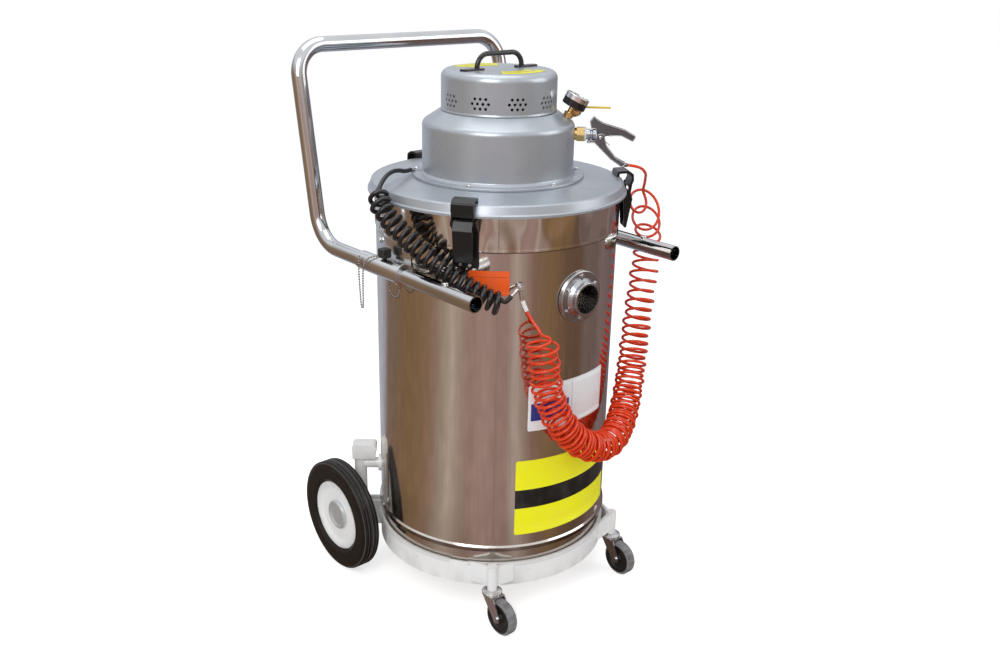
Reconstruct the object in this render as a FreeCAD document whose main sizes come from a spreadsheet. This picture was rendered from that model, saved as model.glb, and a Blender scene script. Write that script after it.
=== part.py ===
import FreeCAD, Part
import math
import os
import re

import Sketcher
from FreeCAD import Placement, Rotation, Vector

# Air-powered steel drum vacuum on a wheeled ring trolley, in millimetres.
# +Z is up, the floor is z = 0 and the drum's axis is the Z axis. The front, with the hose
# inlet and the casters, faces -Y; the push handle is at the back. Angles round the drum are
# measured from the front towards +X.

SIZES = {
    # drum
    "drum_radius": 250, "drum_wall": 1.5, "drum_floor": 104, "drum_top": 884,
    "foot_inset": 6, "foot_radius": "drum_radius - foot_inset", "foot_height": 54, "bead_proud": 4,
    "bead_height": 12, "collar_height": 83, "collar_level": "drum_top - collar_height",
    "collar_proud": 2, "curl_proud": 5, "curl_height": 9,
    # lid and head
    "lid_wall": 2.5, "lid_overhang": 15, "lid_rim_radius": "drum_radius + lid_overhang",
    "lid_lap": 14, "lid_rim_level": "drum_top - lid_lap", "lid_slope": 7.5,
    "lid_edge_radius": "lid_rim_radius - lid_slope", "lid_height": 16, "lid_top": "drum_top + lid_height",
    "lid_edge_level": "lid_top - 7", "lid_flat_inset": 68, "lid_flat_radius": "drum_radius - lid_flat_inset",
    "lid_hole_radius": 62, "gasket_height": 5, "flange_radius": "lower_radius + 22", "flange_height": 5.5,
    "flange_screw_circle": "lower_radius + 12", "lug_screw_angle": -129,
    "lower_radius": 154, "lower_height": 103, "lower_top": "lid_top + lower_height", "shoulder_height": 27,
    "shoulder_top": "lower_top + shoulder_height", "upper_radius": 116, "upper_height": 80,
    "head_top": "shoulder_top + upper_height", "head_wall": 2.5, "shoulder_round": 14, "crown_round": 16,
    "vent_radius": 2.9, "vent_pitch": 11, "vent_level": "shoulder_top + 25", "vent_first_angle": 13,
    "handle_half_span": 58, "handle_rise": 30, "handle_bar_radius": 5,
    "filter_radius": 95, "filter_drop": 239, "filter_bottom": "drum_top - filter_drop",
    "filter_cap_radius": "filter_radius + 3", "ejector_radius": 36,
    # hose inlet
    "inlet_level": 700, "inlet_flange_radius": 53, "inlet_tube_radius": 33, "inlet_bore": 28.5,
    "inlet_flange_face": "drum_radius + 6", "inlet_reach": "inlet_flange_face + 17",
    "inlet_screw_circle": "inlet_tube_radius + 10", "gasket_wall": 1.5,
    # trolley
    "ring_gap": 2, "ring_radius": "drum_radius + ring_gap", "ring_wall": 4, "ring_bottom": 81, "ring_top": 132,
    "trim_wall": 1.6, "trim_drop": 9, "trim_gap_angle": 9, "bar_width": 40, "bar_height": 5.5,
    "caster_x": "ring_radius - 74", "caster_y": "ring_radius - 40", "socket_radius": 10, "socket_bottom": 88,
    "socket_top": 143, "stem_radius": 6, "caster_radius": 38, "caster_width": 24,
    "caster_trail": 33, "caster_axle_radius": 4, "raceway_radius": 21.5,
    "post_x": "ring_radius - 24", "wheel_y": "ring_radius - 62", "post_radius": 14, "post_top": 272,
    "post_bottom": 100, "brace_level": 236, "brace_radius": 12, "wheel_stand": 55,
    "wheel_x": "post_x + wheel_stand", "wheel_radius": 125, "tyre_width": 42, "tyre_height": 46,
    "rim_radius": "wheel_radius - tyre_height", "axle_radius": 8, "hub_cap_radius": 33, "running_gap": 0.08,
    # push handle and its sleeves
    "arm_stand": 20, "arm_x": "drum_radius + arm_stand", "arm_level": 742, "tube_radius": 16, "tube_wall": 2,
    "arm_front": 258, "arm_back": 253, "bar_back": 322, "bar_level": 1140, "low_bend": 75, "top_bend": 62,
    "sleeve_wall": 3, "sleeve_radius": "tube_radius + sleeve_wall", "sleeve_front": 39, "sleeve_back": 97,
    "sleeve_collar": 3, "slot_front": 170, "slot_back": 75, "slot_half": 4, "button_radius": 6.9,
    "knob_y": 20, "knob_side": 20, "knob_height": 18, "knob_stud_radius": 4, "stud_gap": 1.4,
    # latches
    "latch_left_angle": -54, "latch_right_angle": 57, "latch_rear_angle": 180,
    "latch_pivot_r": "drum_radius + 18", "latch_pivot_z": "lid_rim_level - 8",
    "hook_pivot_r": "latch_pivot_r - 1.5", "hook_pivot_z": "latch_pivot_z - 11",
    "latch_pin_radius": 2.5, "hook_pin_radius": 2,
    # air port, gauge, valve and ground clamp
    "air_angle": 47, "port_level": "lid_top + 85", "port_hole_radius": 9, "nipple_radius": 11,
    "coupling_radius": 15.5, "gauge_tilt": 26, "gauge_foot_radius": "lower_radius - 15.6", "gauge_radius": 24.4,
    "gauge_depth": 24.6, "gauge_stand": 22, "lever_rise": 24.4,
    "clamp_pivot_r": "lower_radius + 52", "clamp_pivot_z": "port_level - 5", "clamp_pin_radius": 3,
    "clamp_pocket": 2.2,
    # ground stud and cords
    "stud_angle": -30.5, "stud_level": 738, "stud_radius": 3,
    "bond_cord_radius": 4.5, "bond_coil_radius": 22, "ground_cord_radius": 3,
    "ground_coil_radius": 31,
    # general
    "seat_gap": 0.3,
}

doc = FreeCAD.newDocument("drum_vacuum")
sheet = doc.addObject("Spreadsheet::Sheet", "Sizes")
for row, (alias, number) in enumerate(SIZES.items(), 1):
    sheet.set("A%d" % row, alias)
    sheet.set("B%d" % row, "=" + number if isinstance(number, str) else str(number))
    sheet.setAlias("B%d" % row, alias)
doc.recompute()

NODES = []


# ---------------------------------------------------------------- helpers

def formula(text):
    """Name each size in a formula through the sheet."""
    return re.sub(r"[a-z][a-z_]*", lambda w: "Sizes." + w[0] if w[0] in SIZES else w[0], str(text))


def size(text):
    """Value of a formula, in millimetres or degrees."""
    return float(sheet.evalExpression(formula(text)))


def bind(obj, **properties):
    """Set properties from formulas; a double underscore stands for a dot."""
    for name, text in properties.items():
        obj.setExpression(name.replace("__", "."), formula(text))
    return obj


def node(label, obj, place=None):
    """Name a finished piece, put it in its place and list it for export."""
    if place is not None:
        obj = placed(obj, place)
    obj.Label = label
    NODES.append(obj)
    return obj


def radial(angle, radius=0.0, level=0.0, side=0.0):
    """Place a piece whose local X points out of the drum at an angle from the front."""
    turn = Rotation(Vector(0, 0, 1), angle - 90)
    return Placement(turn.multVec(Vector(radius, side, 0)) + Vector(0, 0, level), turn)


def draw(body, role, corners):
    """Sketch a closed outline on an origin plane; a corner is (x, y) or (x, y, round)."""
    sketch = body.newObject("Sketcher::SketchObject", "Outline")
    plane = [f for f in body.Origin.OriginFeatures if f.Role == role][0]
    sketch.AttachmentSupport = [(plane, "")]
    sketch.MapMode = "FlatFace"
    count = len(corners)
    spots = [Vector(size(c[0]), size(c[1]), 0) for c in corners]
    entry, leave, arcs = [], [], []
    for i, corner in enumerate(corners):
        here = spots[i]
        if len(corner) < 3:
            entry.append(here)
            leave.append(here)
            arcs.append(None)
            continue
        radius = size(corner[2])
        back = (spots[i - 1] - here).normalize()
        ahead = (spots[(i + 1) % count] - here).normalize()
        half = back.getAngle(ahead) / 2
        first = here + back * (radius / math.tan(half))
        last = here + ahead * (radius / math.tan(half))
        centre = here + (back + ahead).normalize() * (radius / math.sin(half))
        left_turn = (-back).cross(ahead).z > 0
        ends = (first, last) if left_turn else (last, first)
        start, stop = (math.atan2((p - centre).y, (p - centre).x) for p in ends)
        circle = Part.Circle(centre, Vector(0, 0, 1), radius)
        arcs.append((Part.ArcOfCircle(circle, start, stop), 1 if left_turn else 2, corner[2]))
        entry.append(first)
        leave.append(last)
    for i in range(count):
        sketch.addGeometry(Part.LineSegment(leave[i], entry[(i + 1) % count]), False)
    for i, spot in enumerate(spots):
        point = sketch.addGeometry(Part.Point(spot), True)
        for kind, value, text in (("DistanceX", spot.x, corners[i][0]),
                                  ("DistanceY", spot.y, corners[i][1])):
            number = sketch.addConstraint(Sketcher.Constraint(kind, -1, 1, point, 1, value))
            sketch.setExpression("Constraints[%d]" % number, formula(text))
        before = (i - 1) % count
        if arcs[i] is None:
            sketch.addConstraint(Sketcher.Constraint("Coincident", before, 2, point, 1))
            sketch.addConstraint(Sketcher.Constraint("Coincident", i, 1, point, 1))
            continue
        geometry, near_end, text = arcs[i]
        arc = sketch.addGeometry(geometry, False)
        sketch.addConstraint(Sketcher.Constraint("PointOnObject", point, 1, before))
        sketch.addConstraint(Sketcher.Constraint("PointOnObject", point, 1, i))
        sketch.addConstraint(Sketcher.Constraint("Tangent", before, 2, arc, near_end))
        sketch.addConstraint(Sketcher.Constraint("Tangent", arc, 3 - near_end, i, 1))
        number = sketch.addConstraint(Sketcher.Constraint("Radius", arc, size(text)))
        sketch.setExpression("Constraints[%d]" % number, formula(text))
    return sketch


def revolved(name, corners, turn="360"):
    """Turn an outline of (radius, height) corners about the Z axis."""
    body = doc.addObject("PartDesign::Body", name)
    sketch = draw(body, "XZ_Plane", corners)
    feature = body.newObject("PartDesign::Revolution", "Turned")
    feature.Profile = sketch
    feature.ReferenceAxis = (sketch, ["V_Axis"])
    bind(feature, Angle=turn)
    return body


def padded(name, role, corners, length, both_ways=True):
    """Pad an outline drawn on an origin plane, evenly to both sides or upwards."""
    body = doc.addObject("PartDesign::Body", name)
    feature = body.newObject("PartDesign::Pad", "Padded")
    feature.Profile = draw(body, role, corners)
    feature.SideType = "Symmetric" if both_ways else "One side"
    bind(feature, Length=length)
    return body


def rod(radius, length, base=("0", "0", "0"), axis=(0, 0, 1)):
    """Round bar from a base point along an axis."""
    obj = doc.addObject("Part::Cylinder", "Rod")
    obj.Placement = Placement(Vector(), Rotation(Vector(0, 0, 1), Vector(*axis)))
    bind(obj, Radius=radius, Height=length, Placement__Base__x=base[0],
         Placement__Base__y=base[1], Placement__Base__z=base[2])
    return obj


def block(lengths, corner):
    """Rectangular bar from its lowest corner."""
    obj = doc.addObject("Part::Box", "Block")
    bind(obj, Length=lengths[0], Width=lengths[1], Height=lengths[2],
         Placement__Base__x=corner[0], Placement__Base__y=corner[1], Placement__Base__z=corner[2])
    return obj


def fused(*pieces):
    obj = doc.addObject("Part::MultiFuse", "Fused")
    obj.Shapes = list(pieces)
    return obj


def cut(base, *tools):
    obj = doc.addObject("Part::Cut", "Cut")
    obj.Base = base
    obj.Tool = tools[0] if len(tools) == 1 else fused(*tools)
    return obj


def common(first, second):
    obj = doc.addObject("Part::Common", "Common")
    obj.Base, obj.Tool = first, second
    return obj


def group(*pieces):
    """Separate solids that share one node."""
    obj = doc.addObject("Part::Compound", "Group")
    obj.Links = list(pieces)
    return obj


def placed(obj, place):
    """Move a piece; one whose own place is bound to sizes moves inside a holder."""
    holder = group(obj) if obj.ExpressionEngine else obj
    holder.Placement = place
    return holder


def rounded_path(points, radii):
    """Wire of straight runs through the points, with an arc of its own radius at each corner."""
    edges, start = [], points[0]
    for i in range(1, len(points) - 1):
        back = (points[i - 1] - points[i]).normalize()
        ahead = (points[i + 1] - points[i]).normalize()
        half = back.getAngle(ahead) / 2
        reach = radii[i - 1] / math.tan(half)
        first, last = points[i] + back * reach, points[i] + ahead * reach
        centre = points[i] + (back + ahead).normalize() * (radii[i - 1] / math.sin(half))
        middle = centre + (points[i] - centre).normalize() * radii[i - 1]
        edges += [Part.LineSegment(start, first).toShape(), Part.Arc(first, middle, last).toShape()]
        start = last
    edges.append(Part.LineSegment(start, points[-1]).toShape())
    return Part.Wire(edges)


def swept(path, radius):
    """Solid round bar along a path."""
    first = path.OrderedEdges[0]
    start, along = first.valueAt(first.FirstParameter), first.tangentAt(first.FirstParameter)
    profile = Part.Wire(Part.makeCircle(radius, start, along))
    return path.makePipeShell([profile], True, False)


def cord_tube(label, points, radius):
    """Cord along straight runs and the largest arcs that its runs allow; prints the radii."""
    spots = [Vector(*p) for p in points]
    radii = []
    for i in range(1, len(spots) - 1):
        run, following = spots[i] - spots[i - 1], spots[i + 1] - spots[i]
        shorter = min(run.Length, following.Length)
        radii.append(0.45 * shorter / math.tan(run.getAngle(following) / 2))
    path = rounded_path(spots, radii)
    shape = swept(path, radius)
    expected = math.pi * radius ** 2 * path.Length
    print("%s: length %.0f, smallest radius %.0f, volume ratio %.4f"
          % (label, path.Length, min(radii, default=math.inf), shape.Volume / expected))
    return shape


def feature(name, shape):
    obj = doc.addObject("Part::Feature", name)
    obj.Shape = shape
    return obj


# ---------------------------------------------------------------- drum and hose inlet

def make_drum():
    outer = [("0", "drum_floor"), ("foot_radius", "drum_floor", "8"),
             ("foot_radius", "drum_floor + foot_height"),
             ("drum_radius + bead_proud", "drum_floor + foot_height + bead_height / 3", "2"),
             ("drum_radius + bead_proud", "drum_floor + foot_height + bead_height", "2"),
             ("drum_radius", "drum_floor + foot_height + bead_height * 4 / 3"),
             ("drum_radius", "collar_level"),
             ("drum_radius + collar_proud", "collar_level + collar_proud"),
             ("drum_radius + collar_proud", "drum_top - curl_height"),
             ("drum_radius + curl_proud", "drum_top - curl_height + 3", "2"),
             ("drum_radius + curl_proud", "drum_top", "3")]
    inner = [("drum_radius - drum_wall", "drum_top"),
             ("drum_radius - drum_wall", "drum_floor + foot_height + bead_height"),
             ("foot_radius - drum_wall", "drum_floor + foot_height"),
             ("foot_radius - drum_wall", "drum_floor + drum_wall", "6"),
             ("0", "drum_floor + drum_wall")]
    shell = revolved("DrumShell", outer + inner)
    port = rod("inlet_tube_radius - 3", "80", ("0", "-drum_radius - 40", "inlet_level"), (0, 1, 0))
    node("drum_shell", cut(shell, port))


def make_inlet():
    drum_face = "drum_radius + gasket_wall + 0.05"
    fitting = revolved("InletFitting", [
        ("inlet_bore", "-(drum_radius - 18)"), ("inlet_tube_radius - 3.2", "-(drum_radius - 18)"),
        ("inlet_tube_radius - 3.2", "-(drum_radius - 12)"),
        ("inlet_flange_radius", "-(drum_radius - 12)"),
        ("inlet_flange_radius", "-inlet_flange_face", "2"),
        ("inlet_tube_radius + 5.4", "-inlet_flange_face"),
        ("inlet_tube_radius", "-inlet_flange_face - 7", "4"),
        ("inlet_tube_radius", "-inlet_reach", "1.5"), ("inlet_bore", "-inlet_reach")])
    lying = Placement(Vector(0, 0, size("inlet_level")), Rotation(Vector(1, 0, 0), -90))
    saddle = cut(rod(drum_face, "160", ("0", "0", "inlet_level - 80")),
                 rod("inlet_tube_radius - 3.2", "300", ("0", "-drum_radius - 50", "inlet_level"), (0, 1, 0)))
    node("inlet_fitting", cut(placed(fitting, lying), saddle))
    pad = cut(rod("inlet_flange_radius - 2", "60", ("0", "-drum_radius - 30", "inlet_level"), (0, 1, 0)),
              rod("inlet_tube_radius - 2.5", "90", ("0", "-drum_radius - 40", "inlet_level"), (0, 1, 0)))
    skin = cut(rod("drum_radius + gasket_wall", "140", ("0", "0", "inlet_level - 70")),
               rod("drum_radius + 0.05", "150", ("0", "0", "inlet_level - 75")))
    node("inlet_gasket", common(pad, skin))
    screws = []
    for k in range(6):
        turn = math.radians(60 * k)
        x = "inlet_screw_circle * %.5f" % math.sin(turn)
        z = "inlet_level + inlet_screw_circle * %.5f" % math.cos(turn)
        screws.append(rod("4.2", "3", (x, "-inlet_flange_face - 3.05", z), (0, 1, 0)))
    node("inlet_screws", group(*screws))
    hood = cut(rod("inlet_tube_radius + 3", "68", ("0", "-drum_radius + 3", "inlet_level"), (0, 1, 0)),
               rod("inlet_tube_radius + 1.5", "66.5", ("0", "-drum_radius + 3", "inlet_level"), (0, 1, 0)),
               block(("80", "38", "40"), ("-40", "-drum_radius + 30", "inlet_level - 45")))
    rim = cut(rod("inlet_tube_radius + 12", "9", ("0", "-drum_radius", "inlet_level"), (0, 1, 0)),
              rod("inlet_tube_radius + 1.5", "20", ("0", "-drum_radius - 5", "inlet_level"), (0, 1, 0)))
    node("inlet_deflector", common(fused(hood, rim),
                                   rod("drum_radius - drum_wall - 0.1", "200", ("0", "0", "inlet_level - 100"))))


# ---------------------------------------------------------------- trolley

def make_ring():
    band = revolved("RingBand", [
        ("ring_radius - ring_wall", "ring_bottom"), ("ring_radius", "ring_bottom"),
        ("ring_radius", "ring_top"), ("ring_radius - ring_wall", "ring_top")])
    reach = "2 * ring_radius"
    bars = [block((reach, "bar_width", "bar_height"),
                  ("-ring_radius", "-bar_width / 2", "drum_floor - bar_height - seat_gap")),
            block(("bar_width", reach, "bar_height"),
                  ("-bar_width / 2", "-ring_radius", "drum_floor - bar_height - seat_gap"))]
    inside = rod("ring_radius - ring_wall / 2", "100", ("0", "0", "50"))
    node("trolley_ring", fused(band, common(fused(*bars), inside)))
    trim = revolved("RingTrim", [
        ("ring_radius - ring_wall - trim_wall", "ring_top - trim_drop"),
        ("ring_radius - ring_wall - 0.1", "ring_top - trim_drop"),
        ("ring_radius - ring_wall - 0.1", "ring_top + 0.1"),
        ("ring_radius + 0.1", "ring_top + 0.1"), ("ring_radius + 0.1", "ring_top - trim_drop + 3"),
        ("ring_radius + trim_wall", "ring_top - trim_drop + 3"),
        ("ring_radius + trim_wall", "ring_top + trim_wall", "1.2"),
        ("ring_radius - ring_wall - trim_wall", "ring_top + trim_wall", "1.2")],
        "360 - trim_gap_angle")
    node("ring_edge_trim", trim, Placement(Vector(), Rotation(Vector(0, 0, 1), 218)))


def caster_angle():
    return math.degrees(math.atan2(size("caster_x"), size("caster_y")))


def make_sockets():
    reach = math.hypot(size("caster_x"), size("caster_y"))
    sockets = []
    for side in (-1, 1):
        hat = padded("SocketPlate", "XY_Plane", [
            ("ring_radius - 4", "-42"), ("ring_radius + 1", "-45"), ("ring_radius + 19", "-13"),
            ("ring_radius + 26", "-8"), ("ring_radius + 26", "8"), ("ring_radius + 19", "13"),
            ("ring_radius + 1", "45"), ("ring_radius - 4", "42"), ("ring_radius + 12", "10"),
            ("ring_radius + 12", "-10")], "socket_top - socket_bottom - 12", False)
        lifted = placed(hat, Placement(Vector(0, 0, size("socket_bottom + 5")), Rotation()))
        sleeve = rod("socket_radius", "socket_top - socket_bottom", (str(reach), "0", "socket_bottom"))
        bore = rod("stem_radius + running_gap", "socket_top - socket_bottom - 4",
                   (str(reach), "0", "socket_bottom"))
        ring = rod("ring_radius", "100", ("0", "0", "70"))
        trim = rod("ring_radius + trim_wall + 0.1", "60", ("0", "0", "ring_top - trim_drop + 2"))
        sockets.append(placed(cut(fused(lifted, sleeve), bore, ring, trim), radial(side * caster_angle())))
    node("caster_sockets", group(*sockets))


def make_rear_posts():
    posts, caps, axles = [], [], []
    reach = math.hypot(size("post_x"), size("wheel_y"))
    angle = 180 - math.degrees(math.atan2(size("post_x"), size("wheel_y")))
    for side in (-1, 1):
        tube = rod("post_radius", "post_top - post_bottom", (str(reach), "0", "post_bottom"))
        brace = rod("brace_radius", "%f - drum_radius - 4" % reach,
                    ("drum_radius + 4", "0", "brace_level"), (1, 0, 0))
        pad = rod("brace_radius + 7", "8", ("drum_radius - 2", "0", "brace_level"), (1, 0, 0))
        plates = [block(("%f - ring_radius + 6" % reach, "5", "60"),
                        ("ring_radius - 6", y, "ring_bottom + 5")) for y in ("-post_radius", "post_radius - 5")]
        ring = rod("ring_radius", "ring_top - ring_bottom + 40", ("0", "0", "ring_bottom - 20"))
        drum = rod("drum_radius + seat_gap", "60", ("0", "0", "brace_level - 30"))
        trim = rod("ring_radius + trim_wall + 0.1", "60", ("0", "0", "ring_top - trim_drop + 2"))
        frame = placed(cut(fused(tube, brace, pad, *plates), ring, drum, trim), radial(side * angle))
        outward = (side, 0, 0)
        centre = (str(side * size("post_x - post_radius - 4")), "wheel_y", "wheel_radius")
        posts.append(cut(frame, rod("axle_radius + 0.05", "60", centre, outward)))
        shaft = rod("axle_radius", "wheel_x + 8 - post_x + post_radius + 4", centre, outward)
        collar = rod("axle_radius + 5", "3", (str(side * size("wheel_x - 22")), "wheel_y", "wheel_radius"), outward)
        axles.append(fused(shaft, collar))
        cap = padded("PostCap", "XZ_Plane", [
            ("%f - 34" % reach, "brace_level + brace_radius + 4", "3"),
            ("%f + post_radius + 3" % reach, "brace_level + brace_radius + 4", "3"),
            ("%f + post_radius + 3" % reach, "post_top + 14", "7"),
            ("%f - 38" % reach, "post_top + 14", "9")], "2 * post_radius + 6")
        hole = rod("post_radius + 0.05", "post_top - brace_level", (str(reach), "0", "brace_level + 0.05"))
        caps.append(placed(cut(cap, hole), radial(side * angle)))
    node("axle_posts", group(*posts))
    node("post_caps", group(*caps))
    node("stub_axles", group(*axles))


def make_wheels():
    half = "tyre_width / 2"
    for name, side in (("left", -1), ("right", 1)):
        place = Placement(Vector(side * size("wheel_x"), size("wheel_y"), size("wheel_radius")),
                          Rotation(Vector(0, 1, 0), side * 90))
        grooves = []
        for k in range(5):
            middle = (k - 2) * 6.4
            grooves += [("wheel_radius", "%g" % (middle - 1.2)), ("wheel_radius - 2.2", "%g" % (middle - 1.2)),
                        ("wheel_radius - 2.2", "%g" % (middle + 1.2)), ("wheel_radius", "%g" % (middle + 1.2))]
        tyre = revolved("Tyre", [
            ("rim_radius + 0.1", "-14"), ("rim_radius + 8", "-" + half), ("wheel_radius - 14", "-" + half, "8"),
            ("wheel_radius", "-16", "3")] + grooves + [
            ("wheel_radius", "16", "3"), ("wheel_radius - 14", half, "8"), ("rim_radius + 8", half),
            ("rim_radius + 0.1", "14")])
        node("tyre_" + name, tyre, place)
        bore = "axle_radius + running_gap"
        disc = revolved("RimDisc", [
            (bore, "-18"), ("20", "-18", "2"), ("20", "-8"), ("rim_radius - 21", "-6"), ("rim_radius - 9", "-13", "3"),
            ("rim_radius", "-13"), ("rim_radius", "16", "2"), ("rim_radius - 7", "16", "4"), ("rim_radius - 17", "9", "8"),
            ("hub_cap_radius + 4", "8"), (bore, "8")])
        cap = revolved("HubCap", [
            ("0", "8.2"), ("hub_cap_radius", "8.2"), ("hub_cap_radius", "14", "2"),
            ("hub_cap_radius - 4", "17", "2"), ("hub_cap_radius - 9", "11.5", "4"), ("0", "10.5")])
        node("wheel_rim_" + name, group(disc, cap), place)


def make_casters():
    trail = "-caster_trail"
    for name, side in (("left", -1), ("right", 1)):
        place = Placement(Vector(side * size("caster_x"), -size("caster_y"), 0), Rotation())
        race = revolved("Raceway", [
            ("0", "socket_bottom - 11"), ("17", "socket_bottom - 11"), ("raceway_radius - 2", "socket_bottom - 8", "1.5"),
            ("raceway_radius - 3", "socket_bottom - 6"), ("raceway_radius", "socket_bottom - 5", "1"),
            ("raceway_radius", "socket_bottom - 3", "1"), ("socket_radius + 4", "socket_bottom - 0.3"),
            ("stem_radius", "socket_bottom - 0.3"), ("stem_radius", "socket_top - 6"), ("0", "socket_top - 6")])
        legs = []
        for x in ("caster_width / 2 + 1.6", "-caster_width / 2 - 4.1"):
            leg = padded("ForkLeg", "YZ_Plane", [
                ("13", "socket_bottom - 8.5"), ("-22", "socket_bottom - 8.5"),
                (trail + " - 9", "caster_radius + 6", "6"), (trail + " - 7", "caster_radius - 8", "6"),
                (trail + " + 6", "caster_radius - 8", "6"), ("-8", "caster_radius + 14", "10")], "2.5", False)
            legs.append(placed(leg, Placement(Vector(size(x), 0, 0), Rotation())))
        yoke = block(("caster_width + 8.2", "35", "3"), ("-caster_width / 2 - 4.1", "-22", "socket_bottom - 11.5"))
        bolt = rod("caster_axle_radius", "caster_width + 14", ("-caster_width / 2 - 7", trail, "caster_radius"), (1, 0, 0))
        nuts = [rod("caster_axle_radius + 2.5", "3", (x, trail, "caster_radius"), (1, 0, 0))
                for x in ("-caster_width / 2 - 7.1", "caster_width / 2 + 4.1")]
        node("caster_fork_" + name, fused(race, yoke, bolt, *legs, *nuts), place)
        half = "caster_width / 2"
        core = revolved("CasterCore", [
            ("caster_axle_radius + running_gap", "-" + half), ("9", "-" + half), ("11", "-7"), ("22", "-7"),
            ("25", "-9.5"), ("caster_radius - 9", "-9.5"), ("caster_radius - 9", "9.5"), ("25", "9.5"),
            ("22", "7"), ("11", "7"), ("9", half), ("caster_axle_radius + running_gap", half)])
        tread = revolved("CasterTread", [
            ("caster_radius - 8.95", "-10.5"), ("caster_radius - 5", "-" + half, "3"), ("caster_radius", "-8", "5"),
            ("caster_radius", "8", "5"), ("caster_radius - 5", half, "3"), ("caster_radius - 8.95", "10.5")])
        spin = Placement(place.Base + Vector(0, -size("caster_trail"), size("caster_radius")),
                         Rotation(Vector(0, 1, 0), 90))
        node("caster_wheel_" + name, group(core, tread), spin)


# ---------------------------------------------------------------- push handle

def make_handle():
    arm, front = size("arm_x"), -size("arm_front")
    level, back = size("arm_level"), size("arm_back")
    top, top_back = size("bar_level"), size("bar_back")
    points = [Vector(-arm, front, level), Vector(-arm, back, level), Vector(-arm, top_back, top),
              Vector(arm, top_back, top), Vector(arm, back, level), Vector(arm, front, level)]
    low, high = size("low_bend"), size("top_bend")
    path = rounded_path(points, [low, high, high, low])
    outer = feature("HandleOuter", swept(path, size("tube_radius")))
    inner = feature("HandleBore", swept(path, size("tube_radius - tube_wall")))
    slots = []
    for side in ("-arm_x", "arm_x"):
        depth, base = "tube_radius", "arm_level + tube_radius / 2"
        slots += [block(("2 * slot_half", "slot_front - slot_back", depth), (side + " - slot_half", "-slot_front", base)),
                  rod("slot_half", depth, (side, "-slot_back", base)),
                  rod("button_radius + running_gap", depth, (side, "-slot_front", base))]
    node("push_handle", cut(outer, inner, *slots))
    for name, side in (("left", "-arm_x"), ("right", "arm_x")):
        stem = revolved("Button", [
            ("0", "tube_radius - 9"), ("button_radius + 1.5", "tube_radius - 9"), ("button_radius + 1.5", "tube_radius - 6.6"),
            ("button_radius", "tube_radius - 6.6"), ("button_radius", "tube_radius + 3", "2"), ("0", "tube_radius + 3.6")])
        node("snap_button_" + name, stem,
             Placement(Vector(size(side), -size("slot_front"), size("arm_level")), Rotation()))


def make_sleeves():
    for name, side in (("left", -1), ("right", 1)):
        x = "%d * arm_x" % side
        length = "sleeve_front + sleeve_back"
        tube = rod("sleeve_radius", length, (x, "-sleeve_front", "arm_level"), (0, 1, 0))
        collar = rod("sleeve_radius + sleeve_collar", "7", (x, "-sleeve_front - 6", "arm_level"), (0, 1, 0))
        skin = cut(rod("drum_radius + seat_gap + 3", "110", ("0", "0", "arm_level - 32")),
                   rod("drum_radius + seat_gap", "114", ("0", "0", "arm_level - 34")))
        window = block(("90", length, "86"), ("%d * drum_radius - %d" % (side, 10 if side < 0 else 80),
                                              "-sleeve_front", "arm_level - 32"))
        body = fused(tube, collar, common(skin, window))
        bore = rod("tube_radius + running_gap", "300", (x, "-150", "arm_level"), (0, 1, 0))
        screw = rod("knob_stud_radius + running_gap", "30", (x, "knob_y", "arm_level + 5"))
        room = rod("drum_radius + seat_gap", "200", ("0", "0", "arm_level - 60"))
        node("sleeve_" + name, cut(body, bore, screw, room))
        grip = block(("knob_side", "knob_side", "knob_height"),
                     (x + " - knob_side / 2", "knob_y - knob_side / 2", "arm_level + sleeve_radius + 3"))
        eased = doc.addObject("Part::Chamfer", "KnobEdges")
        eased.Base = grip
        eased.Edges = [(k, 1.6, 1.6) for k in range(1, 13)]
        stud = rod("knob_stud_radius", "knob_height", (x, "knob_y", "arm_level + tube_radius + stud_gap"))
        node("clamp_knob_" + name, fused(eased, stud))


def make_bead_chain():
    outer = size("arm_x + sleeve_radius") + 5.5
    level = size("arm_level")
    points = [(-268, 38, level + 20.9), (-279, 43, level + 21.5), (-290, 53, level + 15),
              (-outer, 60, level), (-outer, 62, level - 42), (-outer + 1.5, 64, level - 86),
              (-outer + 1.5, 68, level - 91), (-outer + 1.5, 72, level - 86), (-outer, 74, level - 42),
              (-outer, 76, level), (-289, 80, level + 15)]
    node("bead_chain", feature("BeadChain", cord_tube("bead_chain", points, 1.5)))


# ---------------------------------------------------------------- latches

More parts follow.
